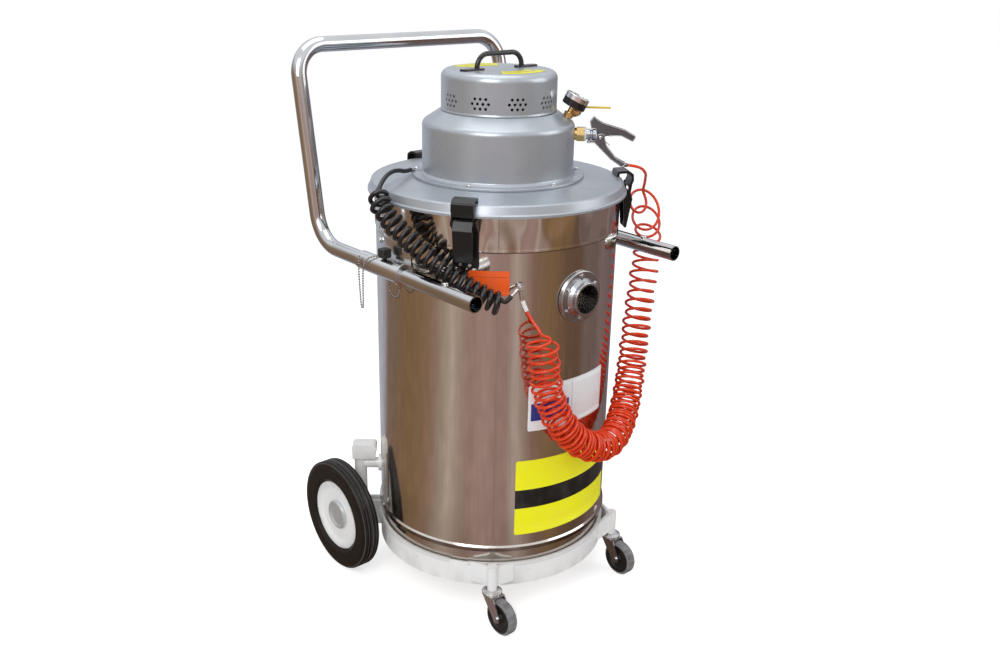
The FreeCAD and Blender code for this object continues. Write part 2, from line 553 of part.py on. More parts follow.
def make_latches():
    bases, rivets = [], []
    for name in ("left", "right", "rear"):
        angle = size("latch_%s_angle" % name)
        pivot, level = "latch_pivot_r", "latch_pivot_z"
        hook_r, hook_z = "hook_pivot_r", "hook_pivot_z"
        wall = "drum_radius + collar_proud + seat_gap"
        plate = padded("LatchPlate", "XZ_Plane", [
            (wall, "latch_pivot_z - 90"), (wall + " + 2.5", "latch_pivot_z - 90", "1"),
            (wall + " + 2.5", "latch_pivot_z + 6", "1"), (wall, "latch_pivot_z + 6")], "50")
        ears = []
        for y in ("22.4", "-25"):
            ear = padded("LatchEar", "XZ_Plane", [
                (wall + " + 1", "latch_pivot_z - 26"), (pivot + " - 4", "latch_pivot_z - 12"),
                (pivot + " + 6", "latch_pivot_z - 6", "5"), (pivot + " + 6", "latch_pivot_z + 6", "5"),
                (wall + " + 1", "latch_pivot_z + 6")], "2.6")
            ears.append(placed(ear, Placement(Vector(0, size(y) + 1.3, 0), Rotation())))
        bore = rod("latch_pin_radius + running_gap", "80", (pivot, "-40", level), (0, 1, 0))
        bases.append(placed(cut(fused(plate, *ears), bore), radial(angle)))
        for z in ("latch_pivot_z - 84", "latch_pivot_z - 44"):
            rivets += [placed(rod("3.2", "1.8", (wall + " + 2.6", y, z), (1, 0, 0)), radial(angle))
                       for y in ("-9", "9")]
        cover = padded("LeverCover", "XZ_Plane", [
            (pivot + " - 6", level + " - 4"), (pivot + " - 6", level + " + 5", "4"), (pivot + " + 6", level + " + 5", "4"),
            (pivot + " + 11", level + " - 4", "3"), (pivot + " + 15", level + " - 14", "4"),
            (pivot + " + 5", level + " - 76", "2"), (pivot + " + 1", level + " - 76", "1"),
            (pivot + " - 4", level + " - 22")], "37")
        hollow = padded("LeverHollow", "XZ_Plane", [
            (pivot + " - 12", level + " - 26"), (pivot + " + 7", level + " - 8"),
            (pivot + " + 11", level + " - 16"), (pivot + " + 2.5", level + " - 73"),
            (pivot + " - 6", level + " - 73")], "31")
        pins = [rod("latch_pin_radius", "50", (pivot, "-25", level), (0, 1, 0)),
                rod("hook_pin_radius", "43", (hook_r, "-21.5", hook_z), (0, 1, 0))]
        node("latch_lever_" + name, fused(cut(cover, hollow), *pins), radial(angle))
        legs = []
        for y in ("20.3", "-20.3"):
            leg = padded("HookLeg", "XZ_Plane", [
                (hook_r + " - 4", hook_z + " - 4", "3"), (hook_r + " + 5", hook_z + " - 4", "3"),
                (pivot + " + 9.5", level + " - 3"), (pivot + " + 12", level + " + 18"),
                (pivot + " + 4", level + " + 18"), (pivot + " + 4", level + " - 5"),
                (hook_r + " - 4", hook_z + " + 4", "2")], "2.4")
            legs.append(placed(leg, Placement(Vector(0, size(y), 0), Rotation())))
        strap = padded("HookStrap", "XZ_Plane", [
            (pivot + " + 4", level + " + 12"), (pivot + " + 9", level + " + 12"),
            (pivot + " + 15", level + " + 24", "4"), (pivot + " + 14", level + " + 38", "5"),
            (pivot + " + 2", level + " + 45", "5"), (pivot + " - 20", level + " + 44", "4"),
            (pivot + " - 23", "lid_edge_level + 2.6", "2"), (pivot + " - 17", "lid_edge_level + 1.6", "1"),
            (pivot + " - 16", level + " + 39", "2"), (pivot + " + 1", level + " + 40", "3"),
            (pivot + " + 10", level + " + 33", "4"), (pivot + " + 10", level + " + 26", "3")], "43")
        eye = rod("hook_pin_radius + running_gap", "60", (hook_r, "-30", hook_z), (0, 1, 0))
        node("latch_hook_" + name, cut(fused(strap, *legs), eye), radial(angle))
    node("latch_bases", group(*bases))
    node("latch_rivets", group(*rivets))


# ---------------------------------------------------------------- lid and head

def make_lid():
    wall = "lid_wall"
    lid = revolved("LidPan", [
        ("lid_hole_radius", "lid_top - lid_wall"), ("lid_flat_radius", "lid_top - lid_wall"),
        ("lid_edge_radius - 4.5", "lid_edge_level - lid_wall"), ("lid_rim_radius - 5.5", "lid_rim_level + 7"),
        ("lid_rim_radius - 2.8", "lid_rim_level + 4"), ("lid_rim_radius - 2.8", "lid_rim_level"),
        ("lid_rim_radius", "lid_rim_level", "1"), ("lid_rim_radius", "lid_rim_level + 5", "1.2"),
        ("lid_rim_radius - 2.8", "lid_rim_level + 7.5"), ("lid_edge_radius", "lid_edge_level - 1", "3"),
        ("lid_edge_radius - 4", "lid_edge_level + 0.5", "3"), ("lid_flat_radius", "lid_top"),
        ("lid_hole_radius", "lid_top")])
    node("lid_pan", lid)
    seal_bottom = "drum_top + 0.1"
    gasket = revolved("LidGasket", [
        ("drum_radius - 5", seal_bottom), ("drum_radius + 3", seal_bottom),
        ("drum_radius + 3", "lid_edge_level - lid_wall - 0.4", "1.5"),
        ("drum_radius - 5", "lid_edge_level - lid_wall - 0.4", "1.5")])
    node("lid_gasket", gasket)


def make_head():
    wall = "head_wall"
    base = "lid_top + 0.1"
    lower = revolved("LowerShell", [
        ("lower_radius - head_wall", base), ("flange_radius", base, "1.5"),
        ("flange_radius", "lid_top + flange_height", "1.5"), ("lower_radius + 4", "lid_top + flange_height"),
        ("lower_radius", "lid_top + flange_height + 5", "4"), ("lower_radius", "lower_top + 4", "shoulder_round"),
        ("upper_radius + 3", "shoulder_top", "4"), ("upper_radius - 12", "shoulder_top"),
        ("upper_radius - 12", "shoulder_top - head_wall"), ("upper_radius + 2", "shoulder_top - head_wall"),
        ("lower_radius - head_wall", "lower_top + 4 - head_wall", "shoulder_round - head_wall")])
    port = rod("port_hole_radius", "40", ("lower_radius - 20", "0", "port_level"), (1, 0, 0))
    stem_hole = placed(rod("5.4", "40", ("0", "0", "-25")), gauge_foot())
    node("head_lower_shell", cut(lower, stem_hole, placed(port, radial(size("air_angle")))))
    upper = revolved("UpperShell", [
        ("upper_radius - 11", "shoulder_top + 0.1"), ("upper_radius + 1.5", "shoulder_top + 0.1", "1.5"),
        ("upper_radius", "shoulder_top + 5"), ("upper_radius", "head_top", "crown_round"), ("0", "head_top"),
        ("0", "head_top - head_wall"), ("upper_radius - head_wall", "head_top - head_wall", "crown_round - head_wall"),
        ("upper_radius - head_wall", "shoulder_top + 5"), ("upper_radius - 11", "shoulder_top + 3")])
    vents = []
    pitch = size("vent_pitch")
    for cluster in range(10):
        middle = size("vent_first_angle") + 36 * cluster
        for line, count in ((1, 3), (0, 4), (-1, 3)):
            for k in range(count):
                across = (k - (count - 1) / 2) * pitch
                angle = middle + math.degrees(across / size("upper_radius"))
                level = size("vent_level") + line * pitch * 0.84
                place = radial(angle, 0, level).multiply(
                    Placement(Vector(size("upper_radius") - 12, 0, 0), Rotation(Vector(0, 1, 0), 90)))
                drill = bind(doc.addObject("Part::Cylinder", "Vent"), Radius="vent_radius", Height="24")
                drill.Placement = place
                vents.append(drill)
    node("head_upper_shell", cut(upper, group(*vents)))
    screws = []
    seat = size("lid_top + flange_height")
    for angle, lift in ((0, 0.05), (60, 0.05), (120, 0.05), (180, 0.05), (size("lug_screw_angle"), 2.2), (-60, 0.05)):
        dome = revolved("FlangeScrew", [
            ("0", "0"), ("6.5", "0"), ("6.5", "1.2"), ("5", "1.2"), ("5", "4", "1.5"), ("0", "4.6")])
        screws.append(placed(dome, radial(angle, size("flange_screw_circle"), seat + lift)))
    node("flange_screws", group(*screws))
    eye = cut(rod("7.5", "1.6"), rod("3.4", "5", ("0", "0", "-1")))
    lug = fused(eye, rod("1.2", "4", ("6.9", "0", "1.2"), (1, 0, 0)), rod("3.4", "14", ("8", "0", "3.5"), (1, 0, 0)))
    stud = rod("3", "2", ("0", "0", "-0.2"))
    spot = radial(size("lug_screw_angle"), size("flange_screw_circle"), seat + 0.35).Base
    node("bond_lug", group(lug, stud), Placement(spot, Rotation(Vector(0, 0, 1), 203)))


def make_carry_handle():
    span, top = size("handle_half_span"), size("head_top")
    rise, bar = size("handle_rise"), size("handle_bar_radius")
    points = [Vector(-span, 0, top + 1), Vector(-span, 0, top + rise), Vector(span, 0, top + rise),
              Vector(span, 0, top + 1)]
    arch = feature("CarryBar", swept(rounded_path(points, [26, 26]), bar))
    feet = []
    for side in (-1, 1):
        foot = padded("CarryFoot", "XY_Plane", [
            ("-28", "-9", "8"), ("28", "-9", "8"), ("28", "9", "8"), ("-28", "9", "8")], "3.5", False)
        feet.append(placed(foot, Placement(Vector(side * (span + 12), 0, top + 0.05), Rotation())))
    node("carry_handle", fused(arch, *feet))


def make_inner_parts():
    node("ejector_body", revolved("Ejector", [
        ("14", "lid_top - 6"), ("lid_hole_radius - 0.3", "lid_top - 6"), ("lid_hole_radius - 0.3", "lid_top + 0.1"),
        ("lid_hole_radius + 20", "lid_top + 0.1"), ("lid_hole_radius + 20", "lid_top + 6"),
        ("ejector_radius", "lid_top + 6"), ("ejector_radius", "lid_top + 40", "6"), ("24", "lid_top + 52"),
        ("22", "lid_top + 84"), ("ejector_radius", "shoulder_top + 20"), ("ejector_radius - 4", "shoulder_top + 20"),
        ("16", "lid_top + 84"), ("10", "lid_top + 50"), ("14", "lid_top + 30")]))
    node("silencer", revolved("Silencer", [
        ("ejector_radius + 8", "shoulder_top + 5"), ("upper_radius - head_wall - 0.4", "shoulder_top + 5"),
        ("upper_radius - head_wall - 0.4", "vent_level - 14"), ("upper_radius - 20", "vent_level - 10"),
        ("upper_radius - 20", "head_top - head_wall - 0.3"), ("ejector_radius + 8", "head_top - head_wall - 0.3")]))
    pleats = 40
    outline = []
    for k in range(2 * pleats):
        turn = math.pi * k / pleats
        reach = size("filter_radius") - (9 if k % 2 else 0)
        outline.append(Vector(reach * math.cos(turn), reach * math.sin(turn), size("filter_bottom") + 8))
    tall = size("lid_top - lid_wall - filter_bottom") - 16.4
    star = Part.Face(Part.Wire(Part.makePolygon(outline + outline[:1]).Edges)).extrude(Vector(0, 0, tall))
    core = Part.makeCylinder(78, tall, Vector(0, 0, size("filter_bottom") + 8))
    media = feature("Pleats", star.cut(core))
    lower_cap = rod("filter_cap_radius", "8", ("0", "0", "filter_bottom"))
    upper_cap = cut(rod("filter_cap_radius", "8", ("0", "0", "lid_top - lid_wall - 8.4")),
                    rod("lid_hole_radius", "10", ("0", "0", "lid_top - lid_wall - 9")))
    node("filter_cartridge", fused(media, lower_cap, upper_cap))


def gauge_foot():
    """Place of the gauge's stem: on the slope of the lower shell, leaning outwards."""
    rise = "(shoulder_top - lower_top - 4) / (lower_radius - upper_radius - 3)"
    level = size("lower_top + 4 + (lower_radius - gauge_foot_radius) * %s + 2" % rise)
    upright = radial(size("air_angle"), size("gauge_foot_radius"), level)
    return upright.multiply(Placement(Vector(), Rotation(Vector(0, 1, 0), size("gauge_tilt"))))


def make_air_group():
    side = size("air_angle")
    level = size("port_level")
    hexagon = [("%.4f * coupling_radius" % math.cos(math.radians(60 * k)),
                "port_level + %.4f * coupling_radius" % math.sin(math.radians(60 * k))) for k in range(6)]
    nut = placed(padded("CouplingHex", "YZ_Plane", hexagon, "15", False),
                 Placement(Vector(size("lower_radius + 4"), 0, 0), Rotation()))
    collar = cut(rod("coupling_radius - 3", "18", ("lower_radius - 10", "0", "port_level"), (1, 0, 0)),
                 rod("lower_radius + 0.05", "60", ("0", "0", "port_level - 30")))
    tail = rod("port_hole_radius - 0.1", "20", ("lower_radius - 14", "0", "port_level"), (1, 0, 0))
    bore = rod("5", "60", ("lower_radius - 20", "0", "port_level"), (1, 0, 0))
    mouth = rod("8.05", "8", ("lower_radius + 12", "0", "port_level"), (1, 0, 0))
    node("air_coupling", cut(fused(nut, collar, tail), bore, mouth), radial(side))
    port = radial(side, 0, level).multiply(Placement(Vector(), Rotation(Vector(0, 1, 0), 90)))
    nipple = revolved("Nipple", [
        ("4", "lower_radius + 12.5"), ("8", "lower_radius + 12.5"), ("8", "lower_radius + 19.1"),
        ("13", "lower_radius + 19.1"), ("13", "lower_radius + 23", "1.5"), ("nipple_radius", "lower_radius + 23"),
        ("nipple_radius", "lower_radius + 30"), ("nipple_radius - 2", "lower_radius + 32"),
        ("nipple_radius - 2", "lower_radius + 35"), ("nipple_radius", "lower_radius + 37"),
        ("nipple_radius", "lower_radius + 43", "1.5"), ("4", "lower_radius + 43")])
    node("air_nipple", nipple, port)

    foot = gauge_foot()
    stem = rod("6", "gauge_stand", ("0", "0", "0"))
    hexed = padded("StemHex", "XY_Plane", [
        ("%.3f" % (10 * math.cos(math.radians(60 * k))), "%.3f" % (10 * math.sin(math.radians(60 * k))))
        for k in range(6)], "9", False)
    tee = rod("6", "20", ("0", "0", "12"), (0.35, 0.94, 0))
    sunk = rod("5", "14", ("0", "0", "-13"))
    tree = placed(fused(stem, hexed, tee, sunk), foot)
    node("gauge_fitting", tree)
    case = revolved("GaugeCase", [
        ("0", "gauge_stand + 0.1"), ("gauge_radius", "gauge_stand + 0.1", "2"),
        ("gauge_radius", "gauge_stand + 12"), ("gauge_radius + 0.4", "gauge_stand + 12"),
        ("gauge_radius + 0.4", "gauge_stand + gauge_depth", "1"),
        ("gauge_radius - 2.5", "gauge_stand + gauge_depth", "0.5"),
        ("gauge_radius - 2.5", "gauge_stand + gauge_depth - 9"), ("0", "gauge_stand + gauge_depth - 9")])
    node("gauge_case", case, foot)
    lens = rod("gauge_radius - 2.55", "2", ("0", "0", "gauge_stand + gauge_depth - 3"))
    node("gauge_lens", group(lens), foot)
    face = "gauge_stand + gauge_depth - 8.7"
    hand = padded("NeedleHand", "XY_Plane", [("-5", "-1.2"), ("14", "-0.4"), ("14", "0.4"), ("-5", "1.2")], "0.8", False)
    swing = Placement(Vector(0, 0, size(face) + 1.2), Rotation(Vector(0, 0, 1), 225))
    needle = fused(rod("2.4", "3", ("0", "0", face)), placed(hand, swing))
    node("gauge_needle", needle, foot)

    valve_base = foot.multiply(Placement(Vector(0, 0, 12), Rotation(Vector(0, 0, 1), 69.5)))
    body = fused(rod("9", "30", ("20.2", "0", "0"), (1, 0, 0)), rod("11", "9", ("25", "0", "0"), (1, 0, 0)),
                 rod("5", "13", ("38", "0", "0")))
    way = rod("5", "18", ("34", "0", "0"), (1, 0, 0))
    node("valve_body", placed(cut(body, way), valve_base))
    strip = padded("LeverStrip", "XZ_Plane", [
        ("-8", "13.3"), ("9", "13.3", "6"), ("60", "13.3 + lever_rise"), ("58.6", "16 + lever_rise"),
        ("8.4", "16.3", "9"), ("-8", "16.3")], "11")
    nut_cap = rod("4.5", "5", ("0", "0", "14"))
    handle = fused(strip, nut_cap)
    lever_place = valve_base.multiply(Placement(Vector(38, 0, 0), Rotation(Vector(0, 0, 1), -69.5)))
    node("valve_lever", handle, lever_place)


def clamp_place():
    return radial(size("air_angle"))


def make_clamp():
    r, z = "clamp_pivot_r", "clamp_pivot_z"
    grip_top, grip_low = "port_level + nipple_radius + 0.3", "port_level - nipple_radius - 0.3"
    upper = padded("UpperJaw", "XZ_Plane", [
        (r + " - 22", z + " + 30"), (r + " - 14", z + " + 42", "3"), (r + " - 8", z + " + 36", "2"),
        (r + " + 4", z + " + 29", "8"), (r + " + 49", z + " + 16", "12"), (r + " + 72", z + " + 3", "4"),
        (r + " + 66", z + " - 8", "3"), (r + " + 42", z + " + 3", "10"), (r + " + 10", z + " + 3", "6"),
        (r + " + 5", z + " - 7", "4"), (r + " - 6", z + " - 6", "4"), (r + " - 8", z + " + 10"),
        (r + " - 8.4", grip_top), (r + " - 19", grip_top)], "8.4")
    pin_hole = rod("clamp_pin_radius + running_gap", "30", (r, "-15", z), (0, 1, 0))
    pockets = []
    for y in ("4.2 - clamp_pocket / 2", "clamp_pocket / 2 - 4.2"):
        pocket = padded("Pocket", "XZ_Plane", [
            (r + " + 13", z + " + 7.5", "2"), (r + " + 42", z + " + 7", "6"), (r + " + 64", z + " - 2.5", "2"),
            (r + " + 66.5", z + " + 1.5", "2"), (r + " + 46", z + " + 12", "6"), (r + " + 13", z + " + 20", "3")],
            "clamp_pocket + 0.02")
        pockets.append(placed(pocket, Placement(Vector(0, size(y), 0), Rotation())))
    node("clamp_jaw_upper", cut(upper, pin_hole, *pockets), clamp_place())
    cheeks = []
    for y in (-6.2, 6.2):
        cheek = padded("Cheek", "XZ_Plane", [
            (r + " - 27", grip_low + " - 5"), (r + " - 21", grip_low), (r + " - 8", grip_low),
            (r + " - 6", z + " + 6", "4"), (r + " + 7", z + " + 7", "5"), (r + " + 14", z + " - 18", "8"),
            (r + " + 34", z + " - 42", "10"), (r + " + 56", z + " - 52", "3"), (r + " + 46", z + " - 60", "4"),
            (r + " + 20", z + " - 42", "12"), (r + " - 12", z + " - 11", "6"), (r + " - 23", z + " - 12", "2")], "3.2")
        cheeks.append(placed(cheek, Placement(Vector(0, y, 0), Rotation())))
    cable_barrel = rod("4.2", "12", (r + " + 46", "0", z + " - 55.5"), (1, 0, 0))
    web = padded("LowerWeb", "XZ_Plane", [
        (r + " + 26", z + " - 38"), (r + " + 56", z + " - 54", "2"), (r + " + 46", z + " - 60", "4"),
        (r + " + 22", z + " - 44")], "12")
    jaw_web = padded("JawWeb", "XZ_Plane", [
        (r + " - 26", grip_low + " - 4.5"), (r + " - 21", grip_low), (r + " - 12", grip_low),
        (r + " - 12", grip_low + " - 4"), (r + " - 22", grip_low + " - 6")], "12")
    pin = fused(rod("clamp_pin_radius", "17", (r, "-8.5", z), (0, 1, 0)),
                rod("clamp_pin_radius + 1.5", "1.2", (r, "-9.2", z), (0, 1, 0)),
                rod("clamp_pin_radius + 1.5", "1.2", (r, "8", z), (0, 1, 0)))
    node("clamp_jaw_lower", fused(web, jaw_web, cable_barrel, pin, *cheeks), clamp_place())


# ---------------------------------------------------------------- ground stud and cords

def make_stud():
    place = radial(size("stud_angle"), 0, size("stud_level"))
    face = "drum_radius + 0.1"
    stud = fused(rod("stud_radius", "17", (face, "0", "0"), (1, 0, 0)), rod("6", "3", (face, "0", "0"), (1, 0, 0)),
                 rod("5.5", "4", ("drum_radius + 7.1", "0", "0"), (1, 0, 0)))
    lugs = []
    for depth, axis in (("drum_radius + 3.4", (0, 0.17, -1)), ("drum_radius + 5.3", (0.45, -0.75, -0.5))):
        along = Vector(*axis).normalize()
        ring = cut(rod("7.2", "1.6", (depth, "0", "0"), (1, 0, 0)),
                   rod("stud_radius + 0.1", "30", ("drum_radius - 5", "0", "0"), (1, 0, 0)))
        barrel = rod("3.1", "19", (depth + " + 3.2 + %.3f" % (7.8 * along.x), "%.3f" % (7.8 * along.y),
                                   "%.3f" % (7.8 * along.z)), axis)
        neck = rod("0.65", "6", (depth + " + 0.8", "%.3f" % (5.5 * along.y), "%.3f" % (5.5 * along.z)), axis)
        lugs.append(fused(ring, barrel, neck))
    node("ground_stud", group(*[placed(piece, place) for piece in [stud] + lugs]))


BOND_LEAD_TOP = [(-149.5, 95.8, 909.4), (-168.8, 87.6, 909.4), (-190, 80, 916), (-212, 71, 918), (-234, 58, 916),
                 (-257, 41, 910), (-278, 24, 900)]
BOND_COIL = [(-278, 24, 900), (-290, 8, 884), (-290, -12, 861), (-283, -38, 839), (-274, -64, 820),
             (-264, -92, 800), (-251.5, -119.5, 780.5), (-237, -145.5, 763), (-225, -168, 747), (-209, -189, 732),
             (-190, -208, 719)]
BOND_LEAD_STUD = [(-190, -208, 719), (-174, -223.3, 709.5), (-154.6, -223.0, 724.6)]
GROUND_LEAD_STUD = [(-126.2, -223.2, 711.4), (-122, -227, 694), (-117, -240, 675), (-114, -256, 661),
                    (-114, -268, 648)]
GROUND_COIL = [(-114, -268, 648), (-109, -271, 592), (-103, -273, 540), (-87, -279, 492), (-62, -287, 447),
               (-28, -294, 410), (12, -297, 388), (54, -293, 378), (96, -281, 384), (136, -262, 408),
               (172, -240, 446), (205, -217, 493), (234, -196, 545), (262, -176, 596), (288, -160, 646),
               (308, -148, 692), (321, -138, 728), (323, -135, 762), (316, -131, 797), (309, -126, 830)]
GROUND_LEAD_CLAMP = [(309, -126, 830), (304, -132, 856), (296, -145, 876), (283, -161, 893), (264, -179, 906),
                     (243, -192, 915), (222, -197, 922), (206, -192, 925), (193.2, -180.2, 924.5)]


def make_cords():
    bond, ground = size("bond_cord_radius"), size("ground_cord_radius")
    leads = [cord_tube("bond_cord_leads", BOND_LEAD_TOP, bond), cord_tube("bond_cord_leads", BOND_LEAD_STUD, bond)]
    node("bond_cord_leads", feature("BondLeads", Part.makeCompound(leads)))
    node("bond_cord_coil", feature("BondCoil", cord_tube("bond_cord_coil", BOND_COIL, size("bond_coil_radius"))))
    leads = [cord_tube("ground_cable_leads", GROUND_LEAD_STUD, ground),
             cord_tube("ground_cable_leads", GROUND_LEAD_CLAMP, ground)]
    node("ground_cable_leads", feature("GroundLeads", Part.makeCompound(leads)))
    node("ground_cable_coil", feature("GroundCoil", cord_tube("ground_cable_coil", GROUND_COIL, size("ground_coil_radius"))))


# ---------------------------------------------------------------- build, check and export

def main():
    make_drum()
    make_inlet()
    make_ring()
    make_sockets()
    make_rear_posts()
    make_wheels()
    make_casters()
    make_handle()
    make_sleeves()
    make_bead_chain()
    make_latches()
    make_lid()
    make_head()
    make_carry_handle()
    make_inner_parts()
    make_air_group()
    make_clamp()
    make_stud()
    make_cords()
    doc.recompute()
    for obj in doc.Objects:
        if "Invalid" in obj.State or "Error" in obj.State:
            raise RuntimeError("%s (%s) failed: %s" % (obj.Name, obj.Label, obj.State))
    os.makedirs("parts", exist_ok=True)
    for obj in NODES:
        if obj.Shape.isNull() or not obj.Shape.isValid() or not obj.Shape.Solids:
            raise RuntimeError("%s has no valid solid" % obj.Label)
        obj.Shape.exportStep("parts/%s.step" % obj.Label)
    print("%d nodes, %d solids" % (len(NODES), sum(len(obj.Shape.Solids) for obj in NODES)))


main()
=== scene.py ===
import logging
import math
from dataclasses import dataclass, field
from enum import Enum

import bmesh
import bpy
import numpy as np
from bpy.types import Material, Node, NodeSocket, NodeTree, Object
from mathutils import Matrix, Vector


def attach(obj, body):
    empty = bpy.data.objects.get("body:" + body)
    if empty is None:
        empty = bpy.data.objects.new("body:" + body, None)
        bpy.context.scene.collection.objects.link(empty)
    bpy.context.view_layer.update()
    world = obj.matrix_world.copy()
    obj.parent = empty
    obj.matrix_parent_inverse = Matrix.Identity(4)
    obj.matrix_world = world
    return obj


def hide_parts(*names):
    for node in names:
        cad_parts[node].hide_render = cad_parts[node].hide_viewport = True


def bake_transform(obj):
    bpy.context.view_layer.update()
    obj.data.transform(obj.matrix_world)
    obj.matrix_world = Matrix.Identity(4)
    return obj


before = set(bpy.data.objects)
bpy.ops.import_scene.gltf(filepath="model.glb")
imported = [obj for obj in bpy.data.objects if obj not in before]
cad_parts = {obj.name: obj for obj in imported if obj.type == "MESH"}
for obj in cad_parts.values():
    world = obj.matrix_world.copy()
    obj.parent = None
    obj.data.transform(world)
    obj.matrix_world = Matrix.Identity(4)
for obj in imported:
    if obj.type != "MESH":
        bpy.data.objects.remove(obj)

log = logging.getLogger("drum_vacuum")

Point = tuple[float, float, float]
Colour = tuple[float, float, float]

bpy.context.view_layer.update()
DRUM_RADIUS = 0.25
CASTER_CENTRE: Point = (0.0, -0.245, 0.038)
WHEEL_CENTRE: Point = (0.0, 0.19, 0.125)
TURN = 2 * math.pi


# ---------------------------------------------------------------- shading kit


class Value:
    """Output of a node; arithmetic and comparisons on it add Math nodes."""

    def __init__(self, nodes: "Nodes", socket: NodeSocket) -> None:
        """Keeps the socket and the nodes it belongs to."""
        self.nodes, self.socket = nodes, socket

    def __add__(self, other: object) -> "Value":
        """Sum."""
        return self.nodes.math("ADD", self, other)

    def __sub__(self, other: object) -> "Value":
        """Difference."""
        return self.nodes.math("SUBTRACT", self, other)

    def __mul__(self, other: object) -> "Value":
        """Product."""
        return self.nodes.math("MULTIPLY", self, other)

    def __gt__(self, other: object) -> "Value":
        """1 where this is greater, otherwise 0."""
        return self.nodes.math("GREATER_THAN", self, other)

    def __lt__(self, other: object) -> "Value":
        """1 where this is less, otherwise 0."""
        return self.nodes.math("LESS_THAN", self, other)

    def __abs__(self) -> "Value":
        """Size without sign."""
        return self.nodes.math("ABSOLUTE", self)


class Nodes:
    """A node tree that starts empty, with short ways to add to it."""

    def __init__(self, tree: NodeTree) -> None:
        """Clears the tree."""
        self.tree = tree
        tree.nodes.clear()

    def add(self, kind: str, *values: object, **settings: object) -> Node:
        """Adds a node, sets its properties by name and feeds its inputs in order.

        Args:
            kind: the node's type name.
            values: values of its first inputs, in order.
            settings: its properties, by name.

        Returns:
            The node.
        """
        node = self.tree.nodes.new(kind)
        for key, value in settings.items():
            setattr(node, key, value)
        for socket, value in zip(node.inputs, values):
            self.feed(socket, value)
        return node

    def out(self, node: Node, key: int | str = 0) -> Value:
        """One output of a node."""
        return Value(self, node.outputs[key])

    def feed(self, socket: NodeSocket, value: object) -> None:
        """Links a value to a socket, or writes a plain number, vector or colour on it.

        Args:
            socket: an input.
            value: an output, a number, a vector or a colour.
        """
        if isinstance(value, Value):
            self.tree.links.new(value.socket, socket)
        else:
            socket.default_value = (*value, 1.0) if socket.type == "RGBA" else value

    def math(self, operation: str, *values: object) -> Value:
        """Result of a Math node."""
        return self.out(self.add("ShaderNodeMath", *values, operation=operation))


class Shader(Nodes):
    """A node material with one Principled surface, and the few patterns that the finishes share."""

    def __init__(self, name: str) -> None:
        """Starts a material of that name.

        Args:
            name: the material's name.
        """
        self.material = bpy.data.materials.new(name)
        self.material.use_nodes = True
        super().__init__(self.material.node_tree)
        self.surface = self.add("ShaderNodeBsdfPrincipled")
        self.output = self.add("ShaderNodeOutputMaterial", self.out(self.surface))
        self.place = self.out(self.add("ShaderNodeTexCoord"), "Object")

    def set(self, **values: object) -> None:
        """Sets Principled sockets; an underscore in a name stands for a space."""
        for key, value in values.items():
            self.feed(self.surface.inputs[key.replace("_", " ")], value)

    def noise(self, scale: float, detail: float = 3.0, stretch: Point = (1.0, 1.0, 1.0), seed: float = 0.0,
              where: Value | None = None) -> Value:
        """Noise in metres on Object coordinates.

        Args:
            scale: lumps per metre.
            detail: octaves of detail.
            stretch: factor on each axis before the noise.
            seed: shift along the axes.
            where: coordinates to use in place of Object.

        Returns:
            The noise's factor.
        """
        shift = self.add("ShaderNodeMapping", where or self.place)
        shift.inputs["Scale"].default_value = stretch
        shift.inputs["Location"].default_value = (seed, seed * 0.7, seed * 1.3)
        node = self.add("ShaderNodeTexNoise", self.out(shift))
        node.inputs["Scale"].default_value = scale
        node.inputs["Detail"].default_value = detail
        return self.out(node)

    def spread(self, value: Value, low: float, high: float, start: float = 0.3, end: float = 0.7) -> Value:
        """Maps start..end of a value to low..high, held at both ends."""
        return self.out(self.add("ShaderNodeMapRange", value, start, end, low, high))

    def mix(self, factor: object, first: object, second: object) -> Value:
        """Blend of two colours by a factor.

        Args:
            factor: 0 for the first colour, 1 for the second.
            first: a colour.
            second: a colour.

        Returns:
            The blended colour.
        """
        node = self.add("ShaderNodeMix", factor, data_type="RGBA")
        self.feed(node.inputs[6], first)
        self.feed(node.inputs[7], second)
        return self.out(node, 2)

    def bump(self, height: object, depth: float, strength: float = 1.0, under: Value | None = None) -> Value:
        """Bump of a height field, depth in metres, laid over another bump if given.

        Args:
            height: height field.
            depth: metres between its 0 and 1.
            strength: share of the effect.
            under: normal to lay it over.

        Returns:
            The normal.
        """
        node = self.add("ShaderNodeBump")
        values = {"Strength": strength, "Distance": depth, "Height": height, "Normal": under}
        for key, value in values.items():
            if value is not None:
                self.feed(node.inputs[key], value)
        return self.out(node)

    def axis(self, name: str) -> Value:
        """One Object coordinate, X, Y or Z, in metres."""
        return self.out(self.add("ShaderNodeSeparateXYZ", self.place), "XYZ".index(name))

    def radius(self, axes: str, centre: Point = (0.0, 0.0, 0.0)) -> Value:
        """Distance in metres from a centre, seen on two axes such as "YZ"."""
        a, b = (self.axis(name) - centre["XYZ".index(name)] for name in axes)
        return self.math("SQRT", a * a + b * b)

    def angle(self) -> Value:
        """Angle round the drum from the front towards +X, in radians."""
        return self.math("ARCTAN2", self.axis("X"), self.axis("Y") * -1.0)

    def uv(self) -> tuple[Value, Value]:
        """The mesh's own two UV coordinates."""
        node = self.add("ShaderNodeSeparateXYZ", self.out(self.add("ShaderNodeUVMap")))
        return self.out(node, 0), self.out(node, 1)

    def between(self, value: Value, low: float, high: float) -> Value:
        """1 where a value lies between two numbers, otherwise 0."""
        return (value > low) * (value < high)


def tinted(colour: Colour, factor: float, lift: float = 0.0) -> Colour:
    """A colour times a factor plus a lift, held at white."""
    return tuple(min(1.0, c * factor + lift) for c in colour)


